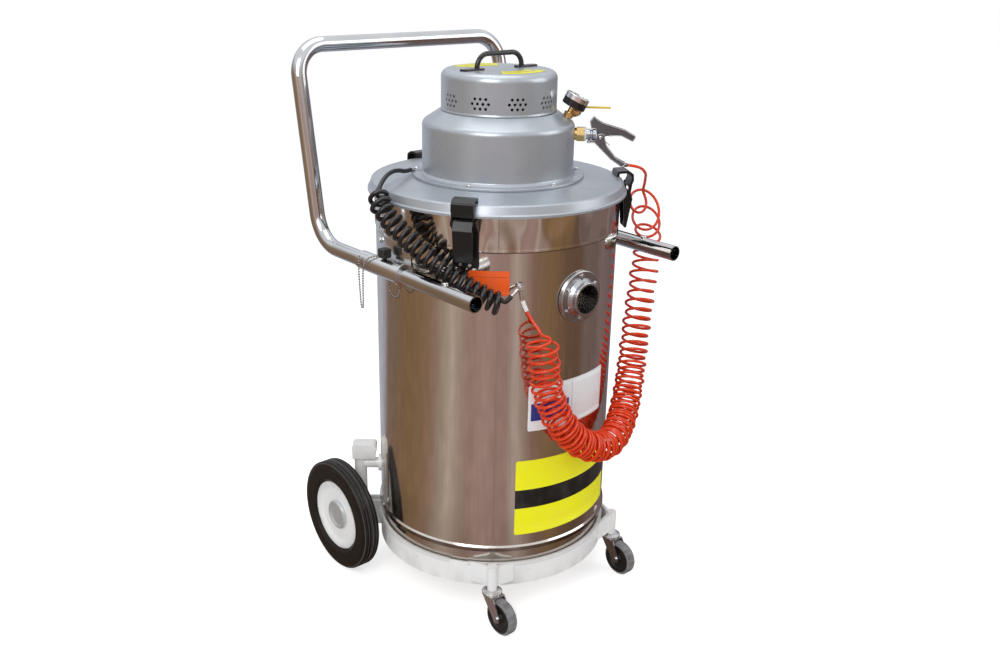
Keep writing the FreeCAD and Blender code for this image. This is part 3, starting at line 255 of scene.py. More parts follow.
@dataclass(frozen=True)
class Finish:
    """What every finish has: a name, and nodes that it paints on an empty material."""

    name: str

    def build(self) -> Material:
        """The finished material.

        Returns:
            The material.
        """
        s = Shader(self.name)
        self.paint(s)
        return s.material

    def paint(self, s: Shader) -> None:
        """Sets the surface's sockets; each finish has its own."""
        raise NotImplementedError


class Grain(Enum):
    """How a metal's fine polishing marks run: their noise's stretch on each axis."""

    NONE = (1.0, 1.0, 1.0)
    ROUND = (1.0, 1.0, 60.0)
    ALONG = (60.0, 1.0, 60.0)


@dataclass(frozen=True)
class Metal(Finish):
    """Bare or plated metal with polishing marks, faint stains and fine scratches."""

    colour: Colour
    rough: float = 0.2
    grain: Grain = Grain.NONE
    wave: float = 0.0
    pits: float = 0.0

    def paint(self, s: Shader) -> None:
        """Marks and scratches set the gloss, stains the tone; a wave and pits come over the marks.

        Args:
            s: the material to fill.
        """
        marks = s.noise(160.0) if self.grain is Grain.NONE else s.noise(18.0, 4.0, self.grain.value)
        stains = s.noise(9.0, 5.0, seed=3.0)
        wear = s.spread(s.noise(420.0, 2.0, (1.0, 0.06, 0.9), seed=7.0), 0.0, 1.0, 0.66, 0.72)
        s.set(Base_Color=s.mix(s.spread(stains, 0.0, 1.0, 0.35, 0.75), self.colour, tinted(self.colour, 0.86)),
              Metallic=1.0, Roughness=s.spread(marks, self.rough * 0.75, self.rough * 1.3) + wear * 0.12)
        normal = s.bump(marks, 0.00002, 0.35)
        if self.wave:
            normal = s.bump(s.noise(5.5, 2.0, (1.0, 1.0, 0.35), seed=1.0), self.wave, 0.6, normal)
        if self.pits:
            normal = s.bump(s.noise(900.0, 3.0), self.pits, 0.7, normal)
        s.set(Normal=normal)


@dataclass(frozen=True)
class Paint(Finish):
    """Sprayed paint or powder coat, with orange peel, a little dust and rubbed spots."""

    colour: Colour
    rough: float = 0.3
    metal: float = 0.0
    peel: float = 0.00006
    dirt: float = 0.12
    gloss: float = 0.5

    def paint(self, s: Shader) -> None:
        """Dust darkens and dulls; a metallic paint has brighter flakes.

        Args:
            s: the material to fill.
        """
        flakes = s.noise(2600.0, 2.0, seed=5.0)
        dust = s.noise(22.0, 6.0, seed=2.0)
        tone = s.mix(s.spread(dust, 0.0, 1.0, 0.45, 0.8), self.colour, tinted(self.colour, 1.0 - self.dirt))
        if self.metal:
            tone = s.mix(s.spread(flakes, 0.0, 0.35, 0.35, 0.8), tone, tinted(self.colour, 1.35))
        s.set(Base_Color=tone, Metallic=self.metal, Roughness=s.spread(dust, -0.04, 0.06) + self.rough,
              Specular_IOR_Level=self.gloss)
        peel = s.bump(s.noise(380.0, 1.5, seed=8.0), self.peel, 0.5)
        s.set(Normal=s.bump(flakes, 0.00001, 0.25, peel))


@dataclass(frozen=True)
class Moulded(Finish):
    """Rubber or plastic with a fine moulded skin, scuffs and a trace of dust."""

    colour: Colour
    rough: float = 0.5
    skin: float = 0.00004
    dust: float = 0.1

    def paint(self, s: Shader) -> None:
        """Dust lies where blotches and scuffs meet.

        Args:
            s: the material to fill.
        """
        scuff = s.noise(260.0, 3.0, (1.0, 1.0, 0.2), seed=6.0)
        pale = s.spread(s.noise(30.0, 5.0, seed=4.0), 0.0, 1.0, 0.4, 0.85) * s.spread(scuff, 0.1, 1.0)
        s.set(Base_Color=s.mix(pale, self.colour, tinted(self.colour, 1.0, self.dust * 0.35)),
              Roughness=s.spread(scuff, -0.06, 0.08) + self.rough,
              Normal=s.bump(s.noise(1400.0, 2.0), self.skin, 0.6))


@dataclass(frozen=True)
class Cable(Finish):
    """Glossy extruded jacket; the pattern follows the cable's own length in its UV map."""

    colour: Colour
    rough: float = 0.22
    coat: float = 0.4

    def paint(self, s: Shader) -> None:
        """Long patches along the jacket, under a thin coat.

        Args:
            s: the material to fill.
        """
        track = s.out(s.add("ShaderNodeUVMap"))
        patch = s.noise(3.0, 4.0, (40.0, 1.0, 1.0), where=track)
        s.set(Base_Color=s.mix(s.spread(patch, 0.0, 1.0), self.colour, tinted(self.colour, 0.72)),
              Roughness=s.spread(patch, -0.05, 0.07) + self.rough, Coat_Weight=self.coat, Coat_Roughness=0.1,
              Normal=s.bump(s.noise(60.0, 2.0, (30.0, 4.0, 1.0), where=track), 0.00003, 0.5))


@dataclass(frozen=True)
class DrumSteel(Finish):
    """Mirror-rolled stainless sheet with an upright weld seam, a soft waviness and handling marks, plus painted shade
    in the creased step under the collar and on the foot bead.
    """

    name: str = "drum_steel"
    colour: Colour = (0.66, 0.62, 0.575)
    rough: float = 0.085
    seam_angle: float = math.radians(-40.0)
    seam_half: float = 0.0014
    collar_level: float = 0.8025
    bead_level: float = 0.1644

    def paint(self, s: Shader) -> None:
        """Streaks, smears and seam in the tone, then painted shade on the foot bead and in the creased step under the
        collar; waves, dents and the roll in the normal.

        Args:
            s: the material to fill.
        """
        height = s.axis("Z")
        streaks = s.noise(16.0, 4.0, (14.0, 14.0, 0.55), seed=2.0)
        smears = s.noise(7.0, 6.0, (1.0, 1.0, 0.5), seed=11.0)
        offset = abs(s.angle() - self.seam_angle)
        seam = offset < self.seam_half / DRUM_RADIUS
        heat = s.spread(offset, 1.0, 0.0, 0.0, 0.03) * s.spread(smears, 0.3, 1.0)
        patchy = s.spread(s.noise(11.0, 2.0, (1.0, 1.0, 0.3), seed=31.0), 0.5, 0.97, 0.36, 0.6)
        # Painted shade: a dark line in the step at the collar's lower edge.
        crease_shade = s.between(height, self.collar_level - 0.0016, self.collar_level + 0.0006)
        # Painted shade: a dark band on the foot bead, broken up by the patchy noise.
        bead = s.between(height, self.bead_level - 0.0065, self.bead_level + 0.0065)
        tone = s.mix(s.spread(streaks, 0.0, 1.0, 0.25, 0.8), self.colour, tinted(self.colour, 0.9))
        # Heat tint and seam are the sheet's own colours; the bead and collar bands are painted shade.
        for factor, colour in ((heat * 0.3, (0.5, 0.43, 0.36)), (seam * 0.35, (0.33, 0.31, 0.29)),
                               (bead * patchy, (0.13, 0.105, 0.095)), (crease_shade * 0.8, (0.10, 0.085, 0.08))):
            tone = s.mix(factor, tone, colour)
        rough = s.spread(streaks, self.rough * 0.6, self.rough * 1.7) + s.spread(smears, 0.0, 0.06, 0.5, 0.75)
        low_wear = s.spread(height, 1.0, 0.0, 0.10, 0.2) * s.spread(smears, 0.0, 0.12)
        s.set(Base_Color=tone, Metallic=1.0, Roughness=rough + seam * 0.25 + low_wear)
        wave = s.bump(s.noise(3.6, 1.5, (1.0, 1.0, 0.22), seed=1.0), 0.0016, 0.55)
        dents = s.bump(s.noise(13.0, 1.0, (1.0, 1.0, 0.6), seed=9.0), 0.0002, 0.5, wave)
        ripple = s.noise(7.5, 2.0, (1.0, 1.0, 0.5), seed=21.0) * (height > self.collar_level)
        roll = s.spread(abs(height - (self.collar_level + 0.003)), 1.0, 0.0, 0.0, 0.0036)
        pressed = s.bump(roll, 0.0005, 1.0, s.bump(ripple, 0.05, 0.9, dents))
        s.set(Normal=s.bump(s.noise(900.0, 2.0, (1.0, 1.0, 0.02)), 0.000012, 0.4, pressed))


@dataclass(frozen=True)
class TyreRubber(Finish):
    """Tyre: fine ribbed tread with dusty grooves and a satin side wall."""

    name: str = "tyre_rubber"
    colour: Colour = (0.008, 0.006, 0.0065)
    rib_pitch: float = 0.0038

    def paint(self, s: Shader) -> None:
        """Dust in the grooves, light lines on the ribs, and fine rings on the side wall.

        Args:
            s: the material to fill.
        """
        radius = s.radius("YZ", WHEEL_CENTRE)
        groove = s.spread(radius, 1.0, 0.0, 0.1232, 0.1242) * (radius > 0.1215)
        dust = s.noise(45.0, 5.0, seed=2.0)
        tone = s.mix((groove * 0.5 + 0.25) * s.spread(dust, 0.1, 1.0), self.colour, (0.04, 0.037, 0.035))
        rib = s.math("FRACT", (s.axis("X") + 1.0) * (1.0 / self.rib_pitch))
        line = (rib < 0.16) * s.spread(radius, 0.0, 1.0, 0.1195, 0.1215)
        s.set(Base_Color=s.mix(line * 0.75, tone, (0.20, 0.19, 0.185)), Roughness=s.spread(dust, 0.34, 0.56),
              Specular_IOR_Level=0.3)
        rings = s.math("SINE", radius * 2600.0) * s.between(radius, 0.086, 0.11)
        s.set(Normal=s.bump(s.noise(1100.0, 2.0), 0.00005, 0.6, s.bump(rings, 0.0002, 0.35)))


@dataclass(frozen=True)
class CasterWheel(Finish):
    """Caster wheel: scuffed grey tread band on a black moulded core."""

    core_radius: float = 0.0315

    def paint(self, s: Shader) -> None:
        """The tread begins where the core ends.

        Args:
            s: the material to fill.
        """
        tread = s.spread(s.radius("YZ", CASTER_CENTRE), 0.0, 1.0, self.core_radius, self.core_radius + 0.0012)
        scuff = s.noise(130.0, 5.0, (0.3, 1.0, 1.0), seed=2.0)
        worn = s.mix(s.spread(scuff, 0.0, 1.0), (0.13, 0.13, 0.135), (0.27, 0.27, 0.275))
        s.set(Base_Color=s.mix(tread, (0.016, 0.015, 0.015), worn), Roughness=s.spread(scuff, 0.36, 0.6),
              Normal=s.bump(s.noise(900.0, 2.0), 0.00008, 0.6, s.bump(scuff, 0.0002, 0.3)))


@dataclass(frozen=True)
class RimAndCap(Finish):
    """White painted rim disc with a bright hub cap in its middle."""

    name: str = "rim_and_cap"
    white: Colour = (0.97, 0.97, 0.965)
    cap_radius: float = 0.0334
    cap_face: float = 0.29105

    def paint(self, s: Shader) -> None:
        """Darker towards the rim's edge, broken up by noise; the cap is told from the rim by its face and radius, and
        is domed.

        Args:
            s: the material to fill.
        """
        radius = s.radius("YZ", WHEEL_CENTRE)
        cap = (abs(s.axis("X")) > self.cap_face) * (radius < self.cap_radius)
        # Darker towards the rim's edge, where it meets the tyre, broken up by noise.
        rim_edge_darkening = s.spread(radius, 0.0, 1.0, 0.064, 0.078) * s.spread(s.noise(40.0, 6.0, seed=3.0), 0.1, 0.6)
        paint = s.mix(rim_edge_darkening, self.white, (0.5, 0.48, 0.45))
        s.set(Base_Color=s.mix(cap, paint, (0.62, 0.65, 0.68)), Metallic=cap * 0.45,
              Roughness=s.spread(cap, 0.28, 0.16, 0.0, 1.0))
        share = radius * (1.0 / self.cap_radius)
        dome = s.math("SUBTRACT", 1.0, share * share) * cap
        s.set(Normal=s.bump(s.noise(420.0, 1.5), 0.00004, 0.4, s.bump(dome, 0.0035, 0.8)))


@dataclass(frozen=True)
class RingPaint(Finish):
    """White powder coat over the rolled ring, with spot-weld dimples, drips, and a darker tone towards the bottom."""

    name: str = "ring_paint"
    colour: Colour = (0.975, 0.97, 0.965)

    def paint(self, s: Shader) -> None:
        """The ring is darker towards the bottom, broken up by noise; a few chips show the primer.

        Args:
            s: the material to fill.
        """
        ring_mottle = s.noise(26.0, 6.0, (1.0, 1.0, 0.5), seed=1.0)
        # Darker towards the bottom of the ring, broken up by the mottle noise.
        low = s.spread(s.axis("Z"), 1.0, 0.2, 0.08, 0.13)
        tone = s.mix(low * s.spread(ring_mottle, 0.0, 0.4, 0.45, 0.75), self.colour, (0.45, 0.42, 0.38))
        chips = s.spread(s.noise(120.0, 4.0, seed=5.0), 0.0, 0.5, 0.70, 0.74)
        s.set(Base_Color=s.mix(chips, tone, (0.35, 0.34, 0.33)), Roughness=s.spread(ring_mottle, 0.26, 0.42),
              Normal=s.bump(s.noise(330.0, 1.5, seed=4.0), 0.00008, 0.5, s.bump(ring_mottle, 0.0004, 0.25)))


def socket_paint(name: str) -> Paint:
    """White powder coat of the posts, sockets and caps."""
    return Paint(name, (0.96, 0.96, 0.955), 0.27, peel=0.00012, dirt=0.2)


@dataclass(frozen=True)
class GaugeShell(Finish):
    """Gauge case: black enamel below, bright rolled bezel above, along its own tilted axis."""

    foot: Point
    axis: Point
    split: float

    def paint(self, s: Shader) -> None:
        """The bezel starts at a distance along the axis.

        Args:
            s: the material to fill.
        """
        offset = s.add("ShaderNodeVectorMath", s.place, self.foot, operation="SUBTRACT")
        dot = s.add("ShaderNodeVectorMath", s.out(offset), self.axis, operation="DOT_PRODUCT")
        bezel = s.out(dot, "Value") > self.split
        wear = s.noise(90.0, 4.0)
        s.set(Base_Color=s.mix(bezel, (0.012, 0.012, 0.013), (0.8, 0.81, 0.82)), Metallic=bezel,
              Roughness=s.spread(wear, -0.04, 0.06) + 0.16, Normal=s.bump(wear, 0.00003, 0.3))


@dataclass(frozen=True)
class DialFace(Finish):
    """White dial with a scale of fine and long marks; it reads the disc's own UV map."""

    name: str = "dial_face"
    divisions: int = 50

    def paint(self, s: Shader) -> None:
        """Marks are shares of a division; U is the radius and V the turn.

        Args:
            s: the material to fill.
        """
        radius, turn = s.uv()
        step, long_step = (s.math("FRACT", turn * count) for count in (self.divisions * 1.0, self.divisions / 5.0))
        fine = (step < 0.22) * s.between(radius, 0.80, 0.90)
        coarse = (long_step < 0.08) * s.between(radius, 0.68, 0.90)
        marks = s.math("MINIMUM", fine + coarse + s.between(radius, 0.895, 0.91), 1.0)
        red = s.between(radius, 0.62, 0.68) * (turn > 0.78)
        tone = s.mix(marks, (0.9, 0.9, 0.88), (0.02, 0.02, 0.02))
        s.set(Base_Color=s.mix(red, tone, (0.6, 0.05, 0.04)), Roughness=0.45,
              Normal=s.bump(s.noise(800.0), 0.00001, 0.3))


@dataclass(frozen=True)
class Decal(Finish):
    """Plain vinyl sheet with colour bands; band edges are fractions of its width and height in UV."""

    ground: Colour
    bands: tuple[tuple[float, float, float, float, Colour], ...] = ()
    rough: float = 0.35

    def paint(self, s: Shader) -> None:
        """Bands over the ground, then a slight fade.

        Args:
            s: the material to fill.
        """
        across, up = s.uv()
        tone: object = self.ground
        for left, right, low, high, colour in self.bands:
            tone = s.mix(s.between(across, left, right) * s.between(up, low, high), tone, colour)
        fade = s.noise(35.0, 5.0, seed=2.0)
        s.set(Base_Color=s.mix(s.spread(fade, 0.0, 0.06, 0.4, 0.8), tone, (0.5, 0.48, 0.44)),
              Roughness=s.spread(fade, -0.05, 0.08) + self.rough, Specular_IOR_Level=0.3,
              Normal=s.bump(s.noise(70.0, 2.0, seed=4.0), 0.00012, 0.3))


@dataclass(frozen=True)
class ClearLens(Finish):
    """Clear moulded lens with faint scratches."""

    name: str = "clear_lens"

    def paint(self, s: Shader) -> None:
        """Clear plastic with a little haze.

        Args:
            s: the material to fill.
        """
        haze = s.noise(300.0, 2.0)
        s.set(Base_Color=(0.96, 0.98, 1.0), Roughness=s.spread(haze, 0.01, 0.05), Transmission_Weight=1.0,
              IOR=1.45, Normal=s.bump(haze, 0.000005, 0.2))


@dataclass(frozen=True)
class FilterMedia(Finish):
    """Off-white pleated filter felt with a fibre nap, darker in the folds."""

    name: str = "filter_media"

    def paint(self, s: Shader) -> None:
        """Darker nearer the axis, where the folds lie, broken up by noise.

        Args:
            s: the material to fill.
        """
        fold_darkening = s.spread(s.radius("XY"), 1.0, 0.0, 0.086, 0.095) * s.spread(s.noise(60.0, 4.0), 0.2, 0.9)
        s.set(Base_Color=s.mix(fold_darkening, (0.78, 0.76, 0.71), (0.42, 0.39, 0.35)), Roughness=0.85, Sheen_Weight=0.3,
              Normal=s.bump(s.noise(1500.0, 3.0), 0.0002, 0.7))


# ---------------------------------------------------------------- surface kit


class Surface:
    """Meshes from point grids worked out with numpy."""

    @staticmethod
    def to_object(name: str, points: np.ndarray, faces: np.ndarray | list, material: Material,
                  smooth: bool = True) -> Object:
        """Makes a mesh object at the origin.

        Args:
            name: piece name.
            points: vertices in metres, with x, y, z in the last axis.
            faces: vertex numbers of each face.
            material: its finish.
            smooth: shade smooth.

        Returns:
            The linked object.
        """
        mesh = bpy.data.meshes.new(name)
        mesh.from_pydata(np.asarray(points, float).reshape(-1, 3), [], [tuple(int(i) for i in f) for f in faces])
        mesh.update()
        mesh.polygons.foreach_set("use_smooth", np.full(len(mesh.polygons), smooth))
        mesh.materials.append(material)
        piece = bpy.data.objects.new(name, mesh)
        bpy.context.scene.collection.objects.link(piece)
        return piece

    @staticmethod
    def grid_faces(rows: int, columns: int, wrap: bool) -> np.ndarray:
        """Quads of a rows by columns grid; wrap joins the last column to the first.

        Args:
            rows: points down.
            columns: points across.
            wrap: whether the columns close a ring.

        Returns:
            Four vertex numbers for each face.
        """
        r = np.arange(rows - 1)[:, None] * columns
        c = np.arange(columns if wrap else columns - 1)[None, :]
        ahead = (c + 1) % columns
        return np.stack([r + c, r + ahead, r + columns + ahead, r + columns + c], axis=-1).reshape(-1, 4)

    @staticmethod
    def set_uv(piece: Object, *uv: np.ndarray) -> None:
        """Gives each corner its vertex's two coordinates.

        Args:
            piece: a mesh object.
            uv: U and V of every vertex.
        """
        mesh = piece.data
        layer = mesh.uv_layers.new(name="UVMap")
        corner = np.empty(len(mesh.loops), dtype=np.int32)
        mesh.loops.foreach_get("vertex_index", corner)
        layer.data.foreach_set("uv", np.stack(uv, axis=-1).reshape(-1, 2).astype(float)[corner].ravel())

    @staticmethod
    def run(line: np.ndarray) -> np.ndarray:
        """Distance along a line at each of its points."""
        return np.concatenate([[0.0], np.cumsum(np.linalg.norm(np.diff(line, axis=0), axis=1))])

    @staticmethod
    def frames(line: np.ndarray) -> tuple[np.ndarray, np.ndarray, np.ndarray]:
        """Steady cross-section frames along a line.

        The tangent is the normalised difference of neighbours. The first side vector is carried on by
        removing its part along each next tangent, so the section doesn't twist.

        Args:
            line: N by 3 points.

        Returns:
            Tangents, side vectors and the vectors square to both.
        """
        tangent = np.gradient(line, axis=0)
        tangent /= np.linalg.norm(tangent, axis=1)[:, None]
        side = np.empty_like(line)
        steep = abs(tangent[0, 2]) >= 0.9
        guess = np.array([1.0, 0.0, 0.0] if steep else [0.0, 0.0, 1.0])
        for i, along in enumerate(tangent):
            guess = guess - along * (guess @ along)
            guess /= np.linalg.norm(guess)
            side[i] = guess
        return tangent, side, np.cross(tangent, side)

    @classmethod
    def tube(cls, name: str, line: np.ndarray, radius: float | np.ndarray, material: Material,
             sides: int = 10) -> Object:
        """Round tube with closed ends: each ring is centre + r (cos a side + sin a up) for a round the circle.

        Args:
            name: piece name.
            line: N by 3 points of its middle.
            radius: one for all, or one for each point.
            material: its finish.
            sides: points in a ring.

        Returns:
            The tube, with (turn, distance along) in its UV map.
        """
        count = len(line)
        reach = np.broadcast_to(np.asarray(radius, float), (count,))
        _, side, up = cls.frames(line)
        turn = np.arange(sides) * TURN / sides
        ring = np.cos(turn)[None, :, None] * side[:, None, :] + np.sin(turn)[None, :, None] * up[:, None, :]
        points = line[:, None, :] + reach[:, None, None] * ring
        faces = [tuple(f) for f in cls.grid_faces(count, sides, True)]
        faces += [tuple(range(sides))[::-1], tuple(range((count - 1) * sides, count * sides))]
        piece = cls.to_object(name, points, faces, material)
        cls.set_uv(piece, np.tile(turn / TURN, count), np.repeat(cls.run(line), sides))
        return piece

    @staticmethod
    def rings(profile: np.ndarray, sides: int) -> np.ndarray:
        """Points of a (radius, height) profile turned about Z.

        Args:
            profile: (radius, height) of each ring.
            sides: points in a ring.

        Returns:
            N by 3 points.
        """
        turn = np.arange(sides) * TURN / sides
        radius, height = profile[:, 0], profile[:, 1]
        return np.stack([radius[:, None] * np.cos(turn), radius[:, None] * np.sin(turn),
                         np.repeat(height[:, None], sides, axis=1)], axis=-1).reshape(-1, 3)

    @classmethod
    def turned(cls, name: str, profile: np.ndarray | list, place: Matrix, material: Material,
               sides: int = 48) -> Object:
        """Profile of (radius, height) turned about the place's Z axis; a radius of 0 closes the end.

        Args:
            name: piece name.
            profile: (radius, height) of each ring.
            place: where its axis stands.
            material: its finish.
            sides: points in a ring.

        Returns:
            The turned piece.
        """
        profile = np.array(profile)
        points = cls.placed(cls.rings(profile, sides), place)
        piece = cls.to_object(name, points, cls.grid_faces(len(profile), sides, True), material)
        cls.tidy(piece)
        return piece

    @staticmethod
    def placed(points: np.ndarray, place: Matrix) -> np.ndarray:
        """Points moved from a place's own axes to the frame."""
        return points @ np.array(place.to_3x3()).T + np.array(place.translation)

    @staticmethod
    def tidy(piece: Object) -> None:
        """Merges doubled points and turns every face outwards.

        Args:
            piece: a mesh object.
        """
        work = bmesh.new()
        work.from_mesh(piece.data)
        bmesh.ops.remove_doubles(work, verts=work.verts, dist=1e-6)
        bmesh.ops.dissolve_degenerate(work, dist=1e-7, edges=work.edges)
        bmesh.ops.recalc_face_normals(work, faces=work.faces)
        work.to_mesh(piece.data)
        work.free()

    @staticmethod
    def curve_line(points: list[Point], per_span: int = 24) -> np.ndarray:
        """Points read from the smooth NURBS curve that has the given control points.

        Args:
            points: control points.
            per_span: steps between two of them.

        Returns:
            N by 3 points.
        """
        curve = bpy.data.curves.new("route", "CURVE")
        curve.dimensions = "3D"
        curve.resolution_u = per_span
        spline = curve.splines.new("NURBS")
        spline.points.add(len(points) - 1)
        for knot, point in zip(spline.points, points):
            knot.co = (*point, 1.0)
        spline.order_u = 3
        spline.use_endpoint_u = True
        holder = bpy.data.objects.new("route", curve)
        bpy.context.scene.collection.objects.link(holder)
        bpy.context.view_layer.update()
        mesh = bpy.data.meshes.new_from_object(holder)
        line = np.empty(len(mesh.vertices) * 3)
        mesh.vertices.foreach_get("co", line)
        bpy.data.objects.remove(holder)
        bpy.data.meshes.remove(mesh)
        line = line.reshape(-1, 3)
        return line[np.append(True, np.linalg.norm(np.diff(line, axis=0), axis=1) > 1e-7)]

    @classmethod
    def resample(cls, line: np.ndarray, where: np.ndarray) -> np.ndarray:
        """Points at the given distances along a line."""
        run = cls.run(line)
        return np.stack([np.interp(where, run, line[:, k]) for k in range(3)], axis=-1)

    @classmethod
    def sheet(cls, name: str, radius: np.ndarray, angle: np.ndarray, height: np.ndarray,
              uv: tuple[np.ndarray, np.ndarray], material: Material, flip: bool = False) -> Object:
        """Thin sheet on a grid of radius, angle from the front and height; flip turns its faces over.

        Args:
            name: piece name.
            radius: grid of distances from the drum's axis.
            angle: grid of angles in radians.
            height: grid of heights.
            uv: grids of U and V.
            material: its finish.
            flip: turn the faces over.

        Returns:
            The sheet.
        """
        points = np.stack([radius * np.sin(angle), -radius * np.cos(angle), height], axis=-1)
        faces = cls.grid_faces(*angle.shape, False)
        piece = cls.to_object(name, points, faces[:, ::-1] if flip else faces, material)
        cls.set_uv(piece, *uv)
        return piece


def smooth_step(value: np.ndarray) -> np.ndarray:
    """0 below 0, 1 above 1, and a smooth rise between."""
    held = np.clip(value, 0.0, 1.0)
    return held * held * (3.0 - 2.0 * held)


def doubled_ends(values: np.ndarray) -> np.ndarray:
    """The values with the first and last ones repeated, for a sheet's turned-down edge."""
    return np.concatenate([values[:1], values, values[-1:]])


def edged(shape: tuple[int, int], inside: float, edge: float) -> np.ndarray:
    """A grid of one value, with another round its border.

    Args:
        shape: rows and columns.
        inside: value inside.
        edge: value of the border.

    Returns:
        The grid.
    """
    grid = np.full(shape, edge)
    grid[1:-1, 1:-1] = inside
    return grid


def outward(angle: float) -> tuple[Vector, Vector]:
    """Unit vectors out of the drum and round it, at an angle in degrees from the front towards +X."""
    a = math.radians(angle)
    return Vector((math.sin(a), -math.cos(a), 0.0)), Vector((math.cos(a), math.sin(a), 0.0))


# ---------------------------------------------------------------- cords and chains


@dataclass
class CurlyCord:
    """A coiled cord: straight leads, and between them a helix round a smooth line that hangs in the air."""

    name: str
    route: list[Point]
    diameter: float
    coil_radius: float
    starts: float
    stops: float
    pitches: tuple[tuple[float, float], ...]
    length: float
    finish: Cable
    nodes: tuple[str, ...]
    hold_from: Point
    hold_to: Point
    per_turn: int = 30
    sides: int = 10
    ramp: tuple[float, float] = (0.02, 0.02)
    lean: Point = (0.0, 0.0, 0.0)
    uneven: float = 0.07
    slack: tuple[float, float] = (0.84, 0.12)
    samples: int = 6000
    lead_step: float = 0.004

    def centreline(self) -> np.ndarray:
        """Helix about the route.

        The coil lies between two shares of the route's length, starts and stops. The pitch is read from
        a table of (share of the coil, pitch), and the angle grows by one turn for each pitch. Both the
        turning and the helix radius r rise from nothing over a ramp at each end. Each point is
        route + r (cos angle side + sin angle up), with r varying slightly. Near the top, slack turns
        lean: each one is moved along the route by its own offset in the lean direction.

        Returns:
            N by 3 points.
        """
        base = Surface.curve_line(self.route)
        total = float(Surface.run(base)[-1])
        run = np.linspace(0.0, total, self.samples)
        line = Surface.resample(base, run)
        along, side, up = Surface.frames(line)
        inside, left = (run / total - self.starts) * total, (self.stops - run / total) * total
        share = smooth_step(inside / self.ramp[0]) * smooth_step(left / self.ramp[1])
        part = np.clip((run / total - self.starts) / (self.stops - self.starts), 0.0, 1.0)
        rate = share / np.interp(part, *np.array(self.pitches).T)
        turns = np.append(0.0, np.cumsum((rate[1:] + rate[:-1]) / 2 * np.diff(run)))
        angle = turns * TURN
        reach = (self.coil_radius - self.diameter / 2) * share * (1.0 + self.uneven * np.sin(0.37 * angle))
        turned = reach[:, None] * (np.cos(angle)[:, None] * side + np.sin(angle)[:, None] * up)
        slack = smooth_step((part - self.slack[0]) / self.slack[1])
        helix = line + turned + (slack * (turned @ np.array(self.lean)))[:, None] * along
        count = int(turns[-1] * self.per_turn + (self.starts + 1.0 - self.stops) * total / self.lead_step)
        return Surface.resample(helix, np.linspace(0.0, Surface.run(helix)[-1], count))

    def build(self) -> None:
        """Makes the tube, logs its length, bakes its place and hides the CAD pieces that it stands in for."""
        line = self.centreline()
        piece = Surface.tube(self.name, line, self.diameter / 2, self.finish.build(), self.sides)
        log.info("%s: %.3f m of cord", self.name, Surface.run(line)[-1])
        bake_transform(piece)
        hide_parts(*self.nodes)


@dataclass
class BeadChain:
    """Hanging loops of ball chain; each ball is a small faceted sphere, joined by a thin wire."""

    loops: dict[str, tuple[Point, ...]]
    ball: float = 0.0021
    pitch: float = 0.0052
    wire: float = 0.0005
    facets: tuple[int, int] = (6, 8)

    def build(self, finish: Material) -> None:
        """Balls sit at even distances along each loop's line, with a wire through them.

        Args:
            finish: finish of balls and wire.
        """
        rows, columns = self.facets
        polar = np.linspace(0.0, math.pi, rows)
        shell = Surface.rings(np.stack([np.sin(polar), np.cos(polar)], axis=-1) * self.ball, columns)
        cells = Surface.grid_faces(rows, columns, True)
        for name, points in self.loops.items():
            line = Surface.curve_line(list(points))
            centres = Surface.resample(line, np.arange(self.pitch / 2, Surface.run(line)[-1], self.pitch))
            faces = (cells[None] + (np.arange(len(centres)) * len(shell))[:, None, None]).reshape(-1, 4)
            balls = Surface.to_object(name, centres[:, None, :] + shell[None], faces, finish)
            Surface.tidy(balls)
            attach(balls, "base")
            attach(Surface.tube(name + "_wire", line, self.wire, finish, 6), "base")
            if name == "bead_chain_long":
                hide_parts("bead_chain")
            log.info("%s: %d balls", name, len(centres))


# ---------------------------------------------------------------- sheets and small parts


